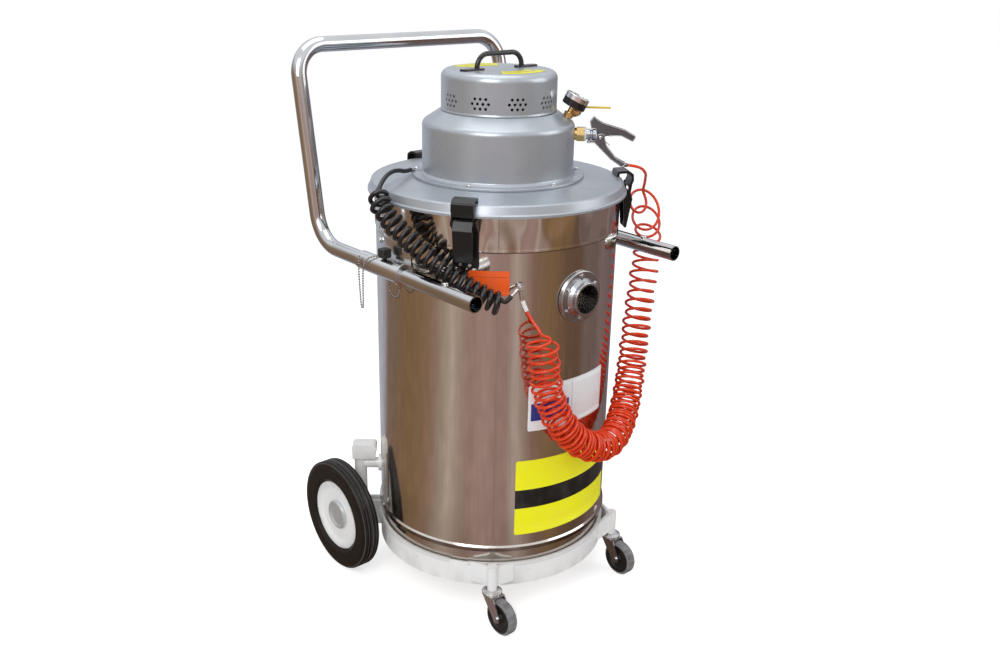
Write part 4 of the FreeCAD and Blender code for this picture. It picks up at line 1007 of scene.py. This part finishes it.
@dataclass
class DrumLabels:
    """Plain vinyl sheets that follow the drum's wall, with no print but colour bands."""

    thickness: float = 0.0003
    edge: float = 0.00002
    corner: float = 0.004
    sheets: tuple[tuple[str, float, float, float, float, Decal], ...] = (
        ("label_orange", -53.0, -35.0, 0.719, 0.767,
         Decal("vinyl_orange", (0.98, 0.115, 0.004), ((0.06, 0.94, 0.74, 0.755, (0.16, 0.03, 0.005)),), 0.5)),
        ("label_white", -25.0, 21.5, 0.432, 0.530,
         Decal("vinyl_white", (0.85, 0.86, 0.87), ((0.03, 0.46, 0.22, 0.60, (0.02, 0.035, 0.25)),
                                                   (0.495, 0.5, 0.03, 0.97, (0.3, 0.32, 0.36))))),
        ("label_yellow", -30.0, 34.0, 0.198, 0.367,
         Decal("vinyl_yellow", (1.0, 0.97, 0.0), ((-0.1, 1.1, 0.36, 0.61, (0.012, 0.012, 0.012)),))),
    )

    def patch(self, name: str, left: float, right: float, low: float, high: float, material: Material) -> Object:
        """Rounded sheet on the cylinder.

        A square grid of (u, v) is squeezed near its corners so that its outline has round corners, then
        u becomes an angle and v a height on the wall; the edge drops to the wall to close the sheet.

        Args:
            name: piece name.
            left: left edge in degrees from the front.
            right: right edge.
            low: lower edge in metres.
            high: upper edge.
            material: its finish.

        Returns:
            The sheet.
        """
        start, end = math.radians(left), math.radians(right)
        width, height = (end - start) * DRUM_RADIUS, high - low
        across, up = np.meshgrid(doubled_ends(np.linspace(0.0, 1.0, 48)), doubled_ends(self.corner_steps(height)))
        rise = np.minimum(up, 1 - up) * height
        bend = np.sqrt(np.maximum(self.corner ** 2 - (self.corner - rise) ** 2, 0.0))
        inset = np.where(rise < self.corner, self.corner - bend, 0.0)
        flat = inset + across * (width - 2 * inset)
        radius = DRUM_RADIUS + edged(across.shape, self.thickness, self.edge)
        return Surface.sheet(name, radius, start + flat / DRUM_RADIUS, low + up * height, (flat / width, up), material)

    def corner_steps(self, height: float) -> np.ndarray:
        """Heights as fractions, close together near both round ends.

        Args:
            height: the sheet's height in metres.

        Returns:
            Fractions from 0 to 1.
        """
        part = self.corner / height
        bend = 1.0 - np.cos(np.linspace(0.0, math.pi / 2, 7))
        return np.unique(np.concatenate([bend * part, np.linspace(part, 1 - part, 10), 1 - bend[::-1] * part]))

    def build(self) -> None:
        """Makes every sheet and lets it ride on the drum."""
        for name, left, right, low, high, decal in self.sheets:
            material = decal.build()
            material.name = name
            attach(self.patch(name, left, right, low, high, material), "base")
            log.info("%s: plain sheet on the drum", name)


@dataclass
class HeadTop:
    """Small plain plates on the head's crown, one each side of the carry handle."""

    level: float = 1.1102
    thickness: float = 0.0004
    radii: tuple[float, float] = (0.052, 0.094)
    half_turn: float = math.radians(38.0)

    def build(self) -> None:
        """Each plate is a ring sector: radius and angle on a grid, lifted with its edge turned down."""
        bands = ((0.06, 0.94, 0.42, 0.5, (0.03, 0.03, 0.03)),)
        material = Decal("vinyl_yellow_small", (0.80, 0.74, 0.02), bands).build()
        reach = doubled_ends(np.linspace(*self.radii, 6))
        shares = doubled_ends(np.linspace(-1.0, 1.0, 30))
        for name, middle in (("crown_plate_front", 0.0), ("crown_plate_back", math.pi)):
            r, a = np.meshgrid(reach, middle + shares * self.half_turn, indexing="ij")
            lift = edged(r.shape, self.level + self.thickness, self.level)
            uv = ((a - middle) / (2 * self.half_turn) + 0.5, (r - reach[0]) / (reach[-1] - reach[0]))
            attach(Surface.sheet(name, r, a, lift, uv, material, flip=True), "head")


@dataclass
class AirGroup:
    """Gauge dial, clamp spring and white seal ring of the air port, at one angle round the head."""

    angle: float = 47.0
    tilt: float = 26.0
    foot_radius: float = 0.1384
    foot_level: float = 1.019251
    stand: float = 0.022
    depth: float = 0.0246
    dial_radius: float = 0.0216
    dial_recess: float = 0.0089
    dial_zero: float = math.radians(225.0)
    scale_share: float = 0.75
    port_level: float = 0.985
    pin: tuple[float, float] = (0.206, 0.980)
    spring_radius: float = 0.0055
    spring_half: float = 0.0036
    spring_wire: float = 0.0007
    rim_wire: float = 0.0009
    rivet: tuple[float, float] = (0.0040, 0.0016)
    rivet_stand: float = 0.00915

    def at_pin(self, ahead: float = 0.0, up: float = 0.0, round_: float = 0.0) -> Vector:
        """A point near the clamp's pin, by distances outwards, upwards and round the head."""
        out, sideways = outward(self.angle)
        return out * (self.pin[0] + ahead) + Vector((0, 0, self.pin[1] + up)) + sideways * round_

    def foot(self) -> Matrix:
        """Place of the gauge's stem: its Z axis leans outwards from the head.

        Returns:
            The place.
        """
        out, round_ = outward(self.angle)
        lean = math.radians(self.tilt)
        up = out * math.sin(lean) + Vector((0, 0, math.cos(lean)))
        ahead = out * math.cos(lean) - Vector((0, 0, math.sin(lean)))
        turn = Matrix((ahead, round_, up)).transposed().to_4x4()
        turn.translation = out * self.foot_radius + Vector((0, 0, self.foot_level))
        return turn

    def dial(self) -> None:
        """Disc of the dial: rings of radius r and turn t, with (r, t) kept in its UV map."""
        t, r = np.linspace(0.0, 1.0, 97), np.linspace(0.02, 0.985, 3)
        grid_r, grid_a = np.meshgrid(r, self.dial_zero - t * TURN, indexing="ij")
        local = np.stack([grid_r * self.dial_radius * np.cos(grid_a), grid_r * self.dial_radius * np.sin(grid_a),
                          np.full_like(grid_r, self.stand + self.depth - self.dial_recess)], axis=-1)
        piece = Surface.to_object("gauge_dial", Surface.placed(local.reshape(-1, 3), self.foot()),
                                  Surface.grid_faces(len(r), len(t), False), DialFace().build())
        Surface.set_uv(piece, grid_r, np.repeat(t[None, :], len(r), axis=0) / self.scale_share)
        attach(piece, "head")

    def seal_ring(self, material: Material) -> None:
        """White washer between the brass coupling and the nipple.

        Args:
            material: its finish.
        """
        out, round_ = outward(self.angle)
        turn = Matrix((Vector((0, 0, -1)), round_, out)).transposed().to_4x4()
        turn.translation = Vector((0, 0, self.port_level))
        inner, outer, near, far = 0.0132, 0.0142, 0.1733, 0.1768
        profile = [(inner, near), (outer, near), (outer, far), (inner, far), (inner, near)]
        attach(Surface.turned("seal_ring", profile, turn, material), "head")

    def clamp_spring(self, material: Material) -> None:
        """Torsion spring on the clamp's pin: a short helix with a straight leg on each jaw's handle.

        Args:
            material: its finish.
        """
        reach, half = self.spring_radius, self.spring_half
        turn = np.linspace(math.radians(-35.0), math.radians(-35.0 + 360.0 * 3 + 65.0), 110)
        share = (turn - turn[0]) / (turn[-1] - turn[0])
        coil = np.array([self.at_pin(reach * math.cos(t), reach * math.sin(t), half * (2 * k - 1))
                         for t, k in zip(turn, share)])
        low, high = np.array(self.at_pin(0.020, -0.016, -half)), np.array(self.at_pin(0.024, 0.0015, half))
        line = np.concatenate([np.linspace(low, coil[0], 6)[:-1], coil, np.linspace(coil[-1], high, 6)[1:]])
        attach(Surface.tube("clamp_spring", line, self.spring_wire, material, 8), "head")

    def rim(self, name: str, outline: tuple[tuple[float, float], ...], stand: float, body: str,
            material: Material) -> None:
        """Raised cast edge on both faces of a clamp jaw; its finish is brighter than the jaw, as a painted highlight.

        Args:
            name: piece name, followed by the face's number.
            outline: (outward, up) in millimetres from the clamp's pin.
            stand: the face's distance from the jaw's middle, in metres.
            body: body that it rides on.
            material: its finish.
        """
        knots = np.array(outline) / 1000.0
        spaced = [knots[0]]
        for a, b in zip(knots, knots[1:]):
            reach = min(0.003, 0.3 * float(np.linalg.norm(b - a)))
            step = (b - a) / np.linalg.norm(b - a) * reach
            spaced += [a + step, b - step, b]
        for number, side in enumerate((-1, 1)):
            line = Surface.curve_line([tuple(self.at_pin(float(x), float(z), side * stand)) for x, z in spaced], 6)
            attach(Surface.tube(f"{name}_{number}", line, self.rim_wire, material, 8), body)

    def rivets(self, material: Material) -> None:
        """Domed rivet heads on both ends of the clamp's pin.

        Args:
            material: their finish.
        """
        _, round_ = outward(self.angle)
        bend = np.linspace(0.0, math.pi / 2, 7)
        wide, high = self.rivet
        profile = np.stack([np.append(0.0, wide * np.cos(bend)), np.append(0.0, high * np.sin(bend))], axis=-1)
        profile[-1, 0] = 0.0
        for number, side in enumerate((-1, 1)):
            place = (round_ * side).to_track_quat("Z", "Y").to_matrix().to_4x4()
            place.translation = self.at_pin(round_=side * self.rivet_stand)
            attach(Surface.turned(f"clamp_rivet_{number}", profile, place, material, 24), "head")

    def build(self, white: Material, wire: Material) -> None:
        """Makes the dial, ring, spring, rivets and the clamp's cast edges; rivets and edges share a bright metal,
        which on the edges is a painted highlight.

        Args:
            white: finish of the ring.
            wire: finish of the spring.
        """
        self.dial()
        self.seal_ring(white)
        self.clamp_spring(wire)
        # Bright metal: the rivets' own colour, and a painted highlight on the cast edges of the darker jaws.
        edge = Metal("clamp_rivet_metal_and_edge_highlight", (0.62, 0.63, 0.66), 0.3, pits=0.00005).build()
        self.rivets(edge)
        self.rim("clamp_rim_upper", UPPER_RIM, 0.0044, "clamp_jaw_upper", edge)
        self.rim("clamp_rim_lower", LOWER_RIM, 0.008, "head", edge)
        log.info("air group: dial, seal ring and clamp spring")


@dataclass
class Fastenings:
    """Weld beads and bolt heads that the pieces' shapes leave out."""

    ring_radius: float = 0.2532
    saddle_radius: float = 0.2536
    weld_steps: int = 90
    weld_size: float = 0.0024
    weld_pitch: float = 0.004
    weld_levels: Point = (0.088, 0.105, 0.121)
    weld_shift: float = 3.4
    post: tuple[float, float] = (0.228, -0.190)
    bolt_size: float = 0.0052
    bolt_spots: tuple[tuple[float, float], ...] = ((0.070, 0.785), (0.070, 0.722), (-0.024, 0.785))
    sleeve_radius: float = 0.0041

    def weld(self, name: str, points: list[Point], material: Material, seed: int) -> None:
        """Weld bead: a tube whose radius ripples along its length like stacked coins.

        Args:
            name: piece name.
            points: control points of its line.
            material: its finish.
            seed: seed of its unevenness.
        """
        line = Surface.curve_line(points, 40)
        where = np.linspace(0.0, 1.0, self.weld_steps) * float(Surface.run(line)[-1])
        jitter = np.random.default_rng(seed).normal(0.0, 0.05, self.weld_steps)
        ripple = 0.16 * np.abs(np.sin(where / self.weld_pitch * math.pi))
        radius = self.weld_size * (1.0 + ripple + jitter * 0.5)
        radius[0] = radius[-1] = self.weld_size * 0.4
        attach(Surface.tube(name, Surface.resample(line, where), radius, material, 8), "base")

    def bolt(self, name: str, at: Vector, out: Vector, material: Material) -> None:
        """Hexagon bolt head with a domed washer, turned from a profile whose upper part has six sides.

        Args:
            name: name that both pieces start with.
            at: middle of the seat.
            out: direction of its axis.
            material: its finish.
        """
        turn = out.to_track_quat("Z", "Y").to_matrix().to_4x4()
        turn.translation = at
        washer = np.array([(0.0, 0.0), (1.25, 0.0), (1.25, 0.18), (0.95, 0.24), (0.0, 0.24)]) * self.bolt_size
        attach(Surface.turned(name + "_washer", washer, turn, material, 28), "base")
        head = np.array([(0.0, 0.24), (1.0, 0.24), (1.0, 0.8), (0.86, 0.95), (0.0, 0.97)]) * self.bolt_size
        cap = Surface.turned(name + "_head", head, turn, material, 6)
        cap.data.polygons.foreach_set("use_smooth", np.zeros(len(cap.data.polygons), dtype=bool))
        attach(cap, "base")

    def build(self, paint: Material, zinc: Material, white: Material) -> None:
        """Welds where the posts meet the ring, bolts on the sleeve plates, and the white sleeve on a cable lug.

        Args:
            paint: finish of the welds.
            zinc: finish of the bolts.
            white: finish of the sleeve.
        """
        for side, hand in ((-1, "left"), (1, "right")):
            base = math.degrees(math.atan2(side * self.post[0], self.post[1]))
            for k, shift in enumerate((-self.weld_shift, self.weld_shift)):
                foot = outward(base + shift)[0] * self.ring_radius
                self.weld(f"post_weld_{hand}_{k}", [(foot.x, foot.y, z) for z in self.weld_levels], paint, 3 + k)
            for k, (y, z) in enumerate(self.bolt_spots):
                x = side * math.sqrt(self.saddle_radius ** 2 - y * y)
                self.bolt(f"saddle_bolt_{hand}_{k}", Vector((x, y, z)), Vector((x, y, 0)).normalized(), zinc)
        lead = Surface.resample(Surface.curve_line(LUG_ROUTE, 8), np.linspace(0.001, 0.023, 12))
        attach(Surface.tube("lug_sleeve", lead, self.sleeve_radius, white, 16), "base")
        log.info("fastenings: welds, saddle bolts and the lug's sleeve")


@dataclass
class Finishes:
    """Every finish on the CAD pieces, by node name."""

    painted: dict[str, Finish] = field(default_factory=lambda: {
        "drum_shell": DrumSteel(),
        "inlet_deflector": Metal("deflector_steel", (0.6, 0.58, 0.55), 0.25, Grain.ROUND),
        "inlet_fitting": Metal("cast_inlet", (0.50, 0.51, 0.535), 0.27, Grain.ROUND, pits=0.000025),
        "inlet_gasket": Moulded("gasket_black", (0.02, 0.02, 0.02), 0.7),
        "inlet_screws": Metal("screw_zinc", (0.7, 0.71, 0.72), 0.24),
        "trolley_ring": RingPaint(),
        "ring_edge_trim": Moulded("trim_white", (0.8, 0.8, 0.79), 0.4, dust=0.2),
        "caster_sockets": socket_paint("post_paint"),
        "axle_posts": socket_paint("axle_post_paint"),
        "post_caps": socket_paint("post_cap_paint"),
        "stub_axles": Metal("axle_zinc", (0.62, 0.63, 0.64), 0.3),
        "sleeve_left": Metal("sleeve_zinc", (0.66, 0.665, 0.67), 0.2, Grain.ALONG, pits=0.00003),
        "latch_bases": Paint("latch_black", (0.01, 0.01, 0.011), 0.3, gloss=0.28),
        "latch_rivets": Metal("rivet_steel", (0.6, 0.6, 0.6), 0.3),
        "ground_stud": Metal("stud_tin", (0.72, 0.73, 0.74), 0.28),
        "lid_pan": Paint("lid_silver", (0.41, 0.445, 0.485), 0.34, 0.5, peel=0.00008),
        "lid_gasket": Moulded("lid_seal", (0.02, 0.02, 0.02), 0.75),
        "head_lower_shell": Paint("head_silver", (0.41, 0.445, 0.485), 0.3, 0.5, peel=0.00008),
        "flange_screws": Metal("flange_screw", (0.7, 0.72, 0.74), 0.26),
        "carry_handle": Moulded("handle_black", (0.012, 0.012, 0.013), 0.22, dust=0.04),
        "ejector_body": Metal("ejector_cast", (0.55, 0.56, 0.57), 0.4, pits=0.00008),
        "silencer": Moulded("silencer_foam", (0.03, 0.03, 0.03), 0.95, 0.0006, 0.2),
        "filter_cartridge": FilterMedia(),
        "gauge_lens": ClearLens(),
        "gauge_fitting": Metal("brass_stem", (0.78, 0.56, 0.24), 0.24, pits=0.00002),
        "valve_body": Metal("brass_valve", (0.76, 0.56, 0.27), 0.26, pits=0.00004),
        "air_coupling": Metal("brass_coupling", (0.62, 0.44, 0.18), 0.26, pits=0.00002),
        "air_nipple": Metal("nipple_steel", (0.5, 0.53, 0.58), 0.3, Grain.ROUND),
        "clamp_jaw_lower": Metal("clamp_cast", (0.17, 0.175, 0.19), 0.42, pits=0.0003),
        "gauge_needle": Moulded("needle_black", (0.01, 0.01, 0.01), 0.4),
        "valve_lever": Moulded("lever_yellow", (0.82, 0.58, 0.02), 0.28, dust=0.03),
        "push_handle": Metal("handle_chrome", (0.60, 0.615, 0.635), 0.1, Grain.NONE, wave=0.0001),
        "snap_button_left": Metal("button_steel", (0.7, 0.7, 0.71), 0.15),
        "clamp_knob_left": Moulded("knob_black", (0.02, 0.022, 0.02), 0.45),
        "tyre_left": TyreRubber(),
        "wheel_rim_left": RimAndCap(),
        "caster_fork_left": Metal("fork_zinc", (0.64, 0.65, 0.66), 0.26, Grain.NONE, pits=0.00003),
        "caster_wheel_left": CasterWheel("caster_tread"),
        "latch_lever_left": Paint("lever_black", (0.009, 0.009, 0.01), 0.24, peel=0.00003, gloss=0.3),
        "latch_hook_left": Paint("hook_black", (0.009, 0.009, 0.01), 0.22, peel=0.00003, gloss=0.3),
    })
    same: dict[str, str] = field(default_factory=lambda: {
        "head_upper_shell": "head_lower_shell", "clamp_jaw_upper": "clamp_jaw_lower", "bond_lug": "ground_stud",
    })

    def dress(self, gauge: AirGroup) -> None:
        """Gives each CAD piece its finish; a right or rear piece takes the left one's.

        Args:
            gauge: the air group, for the gauge case's place.
        """
        foot = gauge.foot()
        lean = tuple(foot.to_3x3() @ Vector((0, 0, 1)))
        shell = GaugeShell("gauge_shell", tuple(foot.translation), lean, gauge.stand + 0.0143)
        made = {name: finish.build() for name, finish in self.painted.items()}
        made["gauge_case"] = shell.build()
        for name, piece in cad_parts.items():
            source = self.same.get(name, name.replace("_right", "_left").replace("_rear", "_left"))
            if source not in made:
                continue
            piece.data.materials.clear()
            piece.data.materials.append(made[source])
            log.info("%s: %s", name, made[source].name)


# ---------------------------------------------------------------- stage, light and camera


@dataclass
class Studio:
    """Pale floor, soft lamps, a reflecting surround and the camera."""

    eye: Point = (-1.4003, -1.6064, 1.3440)
    heading: float = math.radians(41.4)
    down: float = math.radians(20.38)
    roll: float = 0.0211
    lens: float = 37.8
    floor_half: float = 14.0
    reach: float = 4.2
    sides: int = 96
    panels: tuple[tuple[float, Colour], ...] = (
        (-180.0, (0.50, 0.53, 0.60)), (-168.0, (0.44, 0.45, 0.50)), (-160.0, (0.256, 0.184, 0.151)),
        (-142.0, (0.266, 0.175, 0.115)), (-120.0, (0.280, 0.180, 0.096)), (-104.0, (0.325, 0.205, 0.125)),
        (-94.0, (0.379, 0.258, 0.198)), (-86.0, (0.485, 0.390, 0.306)), (-79.0, (0.600, 0.500, 0.415)),
        (-70.0, (0.470, 0.355, 0.300)), (-62.0, (0.430, 0.290, 0.245)), (-48.0, (0.485, 0.342, 0.306)),
        (-38.0, (0.436, 0.295, 0.266)), (-30.0, (0.410, 0.279, 0.245)), (-23.0, (0.577, 0.467, 0.428)),
        (-15.0, (0.430, 0.320, 0.270)), (-7.0, (0.297, 0.190, 0.143)), (9.0, (0.280, 0.172, 0.085)),
        (18.0, (0.240, 0.147, 0.085)), (26.0, (0.180, 0.112, 0.075)), (42.0, (0.172, 0.102, 0.072)),
        (50.0, (0.220, 0.160, 0.143)), (66.0, (0.200, 0.145, 0.138)), (74.0, (0.266, 0.188, 0.186)),
        (96.0, (0.175, 0.136, 0.143)), (112.0, (0.190, 0.180, 0.215)), (130.0, (0.400, 0.400, 0.440)),
        (180.0, (0.50, 0.53, 0.60)))

    def camera(self) -> None:
        """Camera at the eye, turned by its heading, pitch and roll."""
        ahead = Vector((math.sin(self.heading) * math.cos(self.down), math.cos(self.heading) * math.cos(self.down),
                        -math.sin(self.down)))
        data = bpy.data.cameras.new("camera")
        data.lens, data.sensor_width = self.lens, 36.0
        data.clip_start, data.clip_end = 0.05, 60.0
        camera = bpy.data.objects.new("camera", data)
        bpy.context.scene.collection.objects.link(camera)
        camera.location = self.eye
        camera.rotation_mode = "QUATERNION"
        turn = ahead.to_track_quat("-Z", "Y")
        camera.rotation_quaternion = turn @ Matrix.Rotation(self.roll, 4, "Z").to_quaternion()
        bpy.context.scene.camera = camera

    def world(self) -> None:
        """White for the camera and in reflections, with a soft grey sky for the light on the object."""
        world = bpy.data.worlds.new("studio")
        bpy.context.scene.world = world
        world.use_nodes = True
        w = Nodes(world.node_tree)
        path = w.add("ShaderNodeLightPath")
        camera, through, glossy = (w.out(path, f"Is {kind} Ray") for kind in ("Camera", "Transmission", "Glossy"))
        seen = w.math("MAXIMUM", w.math("MAXIMUM", camera, through), glossy)
        light = w.add("ShaderNodeBackground", (0.96, 0.98, 1.0), 0.42)
        white = w.add("ShaderNodeBackground", (1.0, 1.0, 1.0), 1.0)
        blend = w.add("ShaderNodeMixShader", seen, w.out(light), w.out(white))
        w.add("ShaderNodeOutputWorld", w.out(blend))

    def floor(self) -> None:
        """Pale floor that reads white where lit and keeps the object's soft shadow."""
        s = Shader("floor_pale")
        s.set(Base_Color=(0.86, 0.86, 0.86), Roughness=0.9)
        seen = s.out(s.add("ShaderNodeLightPath"), "Is Camera Ray")
        glow = s.add("ShaderNodeEmission", (1.0, 1.0, 1.0), seen * 0.62)
        both = s.add("ShaderNodeAddShader", s.out(s.surface), s.out(glow))
        s.feed(s.output.inputs[0], s.out(both))
        edge = self.floor_half
        corners = np.array([(-edge, -edge, 0), (edge, -edge, 0), (edge, edge, 0), (-edge, edge, 0)], float)
        Surface.to_object("floor", corners, [(0, 1, 2, 3)], s.material, False)

    def bands(self, s: Shader) -> Value:
        """Colour of the studio round the object, read from the angle: warm greys with a few pale panels.

        Args:
            s: the material that the nodes go into.

        Returns:
            The colour.
        """
        wander = (s.noise(1.1, 3.0, (1.0, 1.0, 0.2)) - 0.5) * 0.05
        ramp = s.add("ShaderNodeValToRGB", s.spread(s.angle() + wander, 0.0, 1.0, -math.pi, math.pi))
        while len(ramp.color_ramp.elements) < len(self.panels):
            ramp.color_ramp.elements.new(0.5)
        for element, (turn, colour) in zip(ramp.color_ramp.elements, self.panels):
            element.position = (turn + 180.0) / 360.0
            element.color = (*colour, 1.0)
        return s.out(ramp)

    def reflected(self, s: Shader, tone: Value, strength: float, profile: list[tuple[float, float]]) -> None:
        """Adds a part of the surround that only reflections see.

        Args:
            s: its material, which also names it.
            tone: colour of its plain glow.
            strength: strength of the glow.
            profile: (radius, height) of its rings round the object.
        """
        s.feed(s.output.inputs[0], s.out(s.add("ShaderNodeEmission", tone, strength)))
        faces = Surface.grid_faces(len(profile), self.sides, True)
        piece = Surface.to_object(s.material.name, Surface.rings(np.array(profile), self.sides), faces, s.material)
        piece.visible_camera = piece.visible_diffuse = piece.visible_shadow = False
        piece.visible_transmission = piece.visible_volume_scatter = False

    def surround(self) -> None:
        """Walls and ground of a workshop.

        The wall is an open cylinder, points (r cos t, r sin t, z); the ground is a ring just over the floor.
        Both take their colour from the angle round the object; the ground has a painted shadow near it.
        """
        wall = Shader("surround_wall")
        tone = wall.mix(wall.spread(wall.axis("Z"), 0.0, 1.0, 1.4, 3.6), self.bands(wall), (0.85, 0.87, 0.9))
        self.reflected(wall, tone, 1.2, [(self.reach, z) for z in (-0.01, 1.5, 3.0, 4.6)])
        ground = Shader("surround_ground")
        # Painted shadow: the reflected ground is darker near the object and lighter further out.
        near = ground.spread(ground.radius("XY"), 0.55, 1.0, 0.2, 0.75)
        scale = ground.add("ShaderNodeVectorMath", self.bands(ground), operation="SCALE")
        ground.feed(scale.inputs["Scale"], near * ground.spread(ground.noise(7.0, 4.0), 0.86, 1.12))
        self.reflected(ground, ground.out(scale), 1.0, [(r, 0.002) for r in (0.02, 0.6, 1.6, self.reach)])

    def lamps(self) -> None:
        """Large soft key from the left, a fill from the right and a top light."""
        for name, at, aim, size, power in (("key", (-2.4, -1.4, 2.6), (0, 0, 0.6), 1.8, 48.0),
                                           ("fill", (2.2, -2.2, 2.0), (0, 0, 0.5), 2.0, 24.0),
                                           ("top", (0.0, 0.3, 3.6), (0, 0, 0.6), 2.2, 30.0)):
            data = bpy.data.lights.new(name, "AREA")
            data.energy, data.size = power, size
            lamp = bpy.data.objects.new(name, data)
            bpy.context.scene.collection.objects.link(lamp)
            lamp.location = at
            lamp.rotation_mode = "QUATERNION"
            lamp.rotation_quaternion = (Vector(aim) - Vector(at)).to_track_quat("-Z", "Y")

    def build(self) -> None:
        """Sets the whole stage."""
        bpy.context.scene.view_settings.view_transform = "Standard"
        self.world()
        self.floor()
        self.surround()
        self.lamps()
        self.camera()
        log.info("studio is set")


# ---------------------------------------------------------------- routes and outlines


BOND_ROUTE: list[Point] = [
    (-0.1545, -0.2230, 0.7246), (-0.174, -0.2233, 0.7095), (-0.190, -0.208, 0.719), (-0.209, -0.189, 0.732),
    (-0.225, -0.168, 0.747), (-0.237, -0.1455, 0.763), (-0.2515, -0.1195, 0.7805), (-0.264, -0.092, 0.800),
    (-0.274, -0.064, 0.820), (-0.283, -0.038, 0.839), (-0.290, -0.012, 0.861), (-0.290, 0.008, 0.884),
    (-0.278, 0.024, 0.900), (-0.257, 0.041, 0.910), (-0.234, 0.058, 0.916), (-0.212, 0.071, 0.918),
    (-0.190, 0.080, 0.916), (-0.1688, 0.0876, 0.9094), (-0.1495, 0.0958, 0.9094),
]
GROUND_ROUTE: list[Point] = [
    (-0.1262, -0.2232, 0.7114), (-0.122, -0.227, 0.694), (-0.117, -0.240, 0.675), (-0.114, -0.256, 0.661),
    (-0.114, -0.268, 0.648), (-0.109, -0.271, 0.592), (-0.103, -0.273, 0.540), (-0.087, -0.279, 0.492),
    (-0.062, -0.287, 0.447), (-0.028, -0.294, 0.410), (0.012, -0.297, 0.388), (0.054, -0.293, 0.378),
    (0.096, -0.281, 0.384), (0.136, -0.262, 0.408), (0.172, -0.240, 0.446), (0.205, -0.217, 0.493),
    (0.234, -0.196, 0.545), (0.262, -0.176, 0.596), (0.288, -0.160, 0.646), (0.308, -0.148, 0.692),
    (0.321, -0.138, 0.728), (0.323, -0.135, 0.762), (0.316, -0.131, 0.797), (0.309, -0.126, 0.830),
    (0.302, -0.132, 0.851), (0.292, -0.144, 0.868), (0.277, -0.158, 0.884), (0.258, -0.175, 0.897),
    (0.238, -0.187, 0.908), (0.221, -0.194, 0.917), (0.206, -0.191, 0.9225), (0.1932, -0.1802, 0.9245),
]
LUG_ROUTE: list[Point] = [(-0.1262, -0.2232, 0.7114), (-0.1225, -0.2265, 0.6965), (-0.1180, -0.2375, 0.6790)]
CHAIN_SHORT: tuple[Point, ...] = (
    (-0.270, -0.031, 0.7225), (-0.270, -0.030, 0.710), (-0.271, -0.024, 0.696), (-0.271, -0.012, 0.691),
    (-0.271, 0.000, 0.696), (-0.270, 0.007, 0.709), (-0.270, 0.008, 0.7225),
)
CHAIN_LONG: tuple[Point, ...] = (
    (-0.268, 0.038, 0.7629), (-0.279, 0.043, 0.7635), (-0.290, 0.053, 0.757), (-0.2945, 0.060, 0.742),
    (-0.2945, 0.062, 0.700), (-0.293, 0.064, 0.656), (-0.293, 0.068, 0.651), (-0.293, 0.072, 0.656),
    (-0.2945, 0.074, 0.700), (-0.2945, 0.076, 0.742), (-0.289, 0.080, 0.757),
)

BOND_PITCHES = ((0.0, 0.0145), (0.5, 0.0155), (1.0, 0.0165))
GROUND_PITCHES = ((0.0, 0.017), (0.13, 0.014), (0.27, 0.0105), (0.37, 0.0085), (0.47, 0.0078), (0.56, 0.0115),
                  (0.66, 0.0185), (0.85, 0.025), (0.93, 0.030), (1.0, 0.04))
UPPER_RIM = ((-9.2, 17.2), (-18.2, 17.2), (-21.0, 30.0), (-14.0, 40.6), (-8.6, 35.0), (3.6, 28.0), (48.6, 15.0),
             (70.6, 2.8), (65.6, -6.6), (42.2, 3.9), (17.0, 3.9))
LOWER_RIM = ((-7.2, -6.9), (-5.2, 4.8), (1.0, 7.4), (6.2, 6.0), (13.0, -18.0), (33.2, -41.0), (54.0, -52.0),
             (46.0, -58.8), (20.4, -41.0), (-11.4, -10.2), (-22.8, -11.2), (-25.0, -10.6), (-21.0, -7.1),
             (-9.0, -7.1))


def main() -> None:
    """Builds every sub-assembly in order."""
    logging.basicConfig(level=logging.INFO, format="%(name)s: %(message)s")
    air = AirGroup()
    Finishes().dress(air)
    white = Moulded("washer_white", (0.8, 0.8, 0.78), 0.4).build()
    wire = Metal("spring_wire", (0.35, 0.35, 0.36), 0.3).build()
    chrome = Metal("chain_chrome", (0.34, 0.33, 0.32), 0.22).build()
    air.build(white, wire)
    bond = CurlyCord("bond_cord", BOND_ROUTE, 0.009, 0.022, 0.028, 0.71, BOND_PITCHES, 2.6,
                     Cable("cord_black", (0.012, 0.012, 0.015), 0.36, 0.1), ("bond_cord_leads", "bond_cord_coil"),
                     (-0.243, -0.135, 0.770), (-0.278, 0.024, 0.90), ramp=(0.018, 0.018), sides=12, per_turn=26)
    bond.build()
    ground = CurlyCord("ground_cable", GROUND_ROUTE, 0.006, 0.031, 0.062, 0.868, GROUND_PITCHES, 12.0,
                       Cable("cable_orange", (0.90, 0.055, 0.004), 0.24, 0.05),
                       ("ground_cable_leads", "ground_cable_coil"), (-0.055, -0.28, 0.38), (0.275, -0.28, 0.446),
                       ramp=(0.02, 0.03), lean=(0.66, 0.75, 0.0))
    ground.build()
    BeadChain({"bead_chain_long": CHAIN_LONG, "bead_chain_short": CHAIN_SHORT}).build(chrome)
    DrumLabels().build()
    HeadTop().build()
    Fastenings().build(bpy.data.materials["axle_post_paint"], bpy.data.materials["screw_zinc"], white)
    Studio().build()


if __name__ == "__main__":
    main()
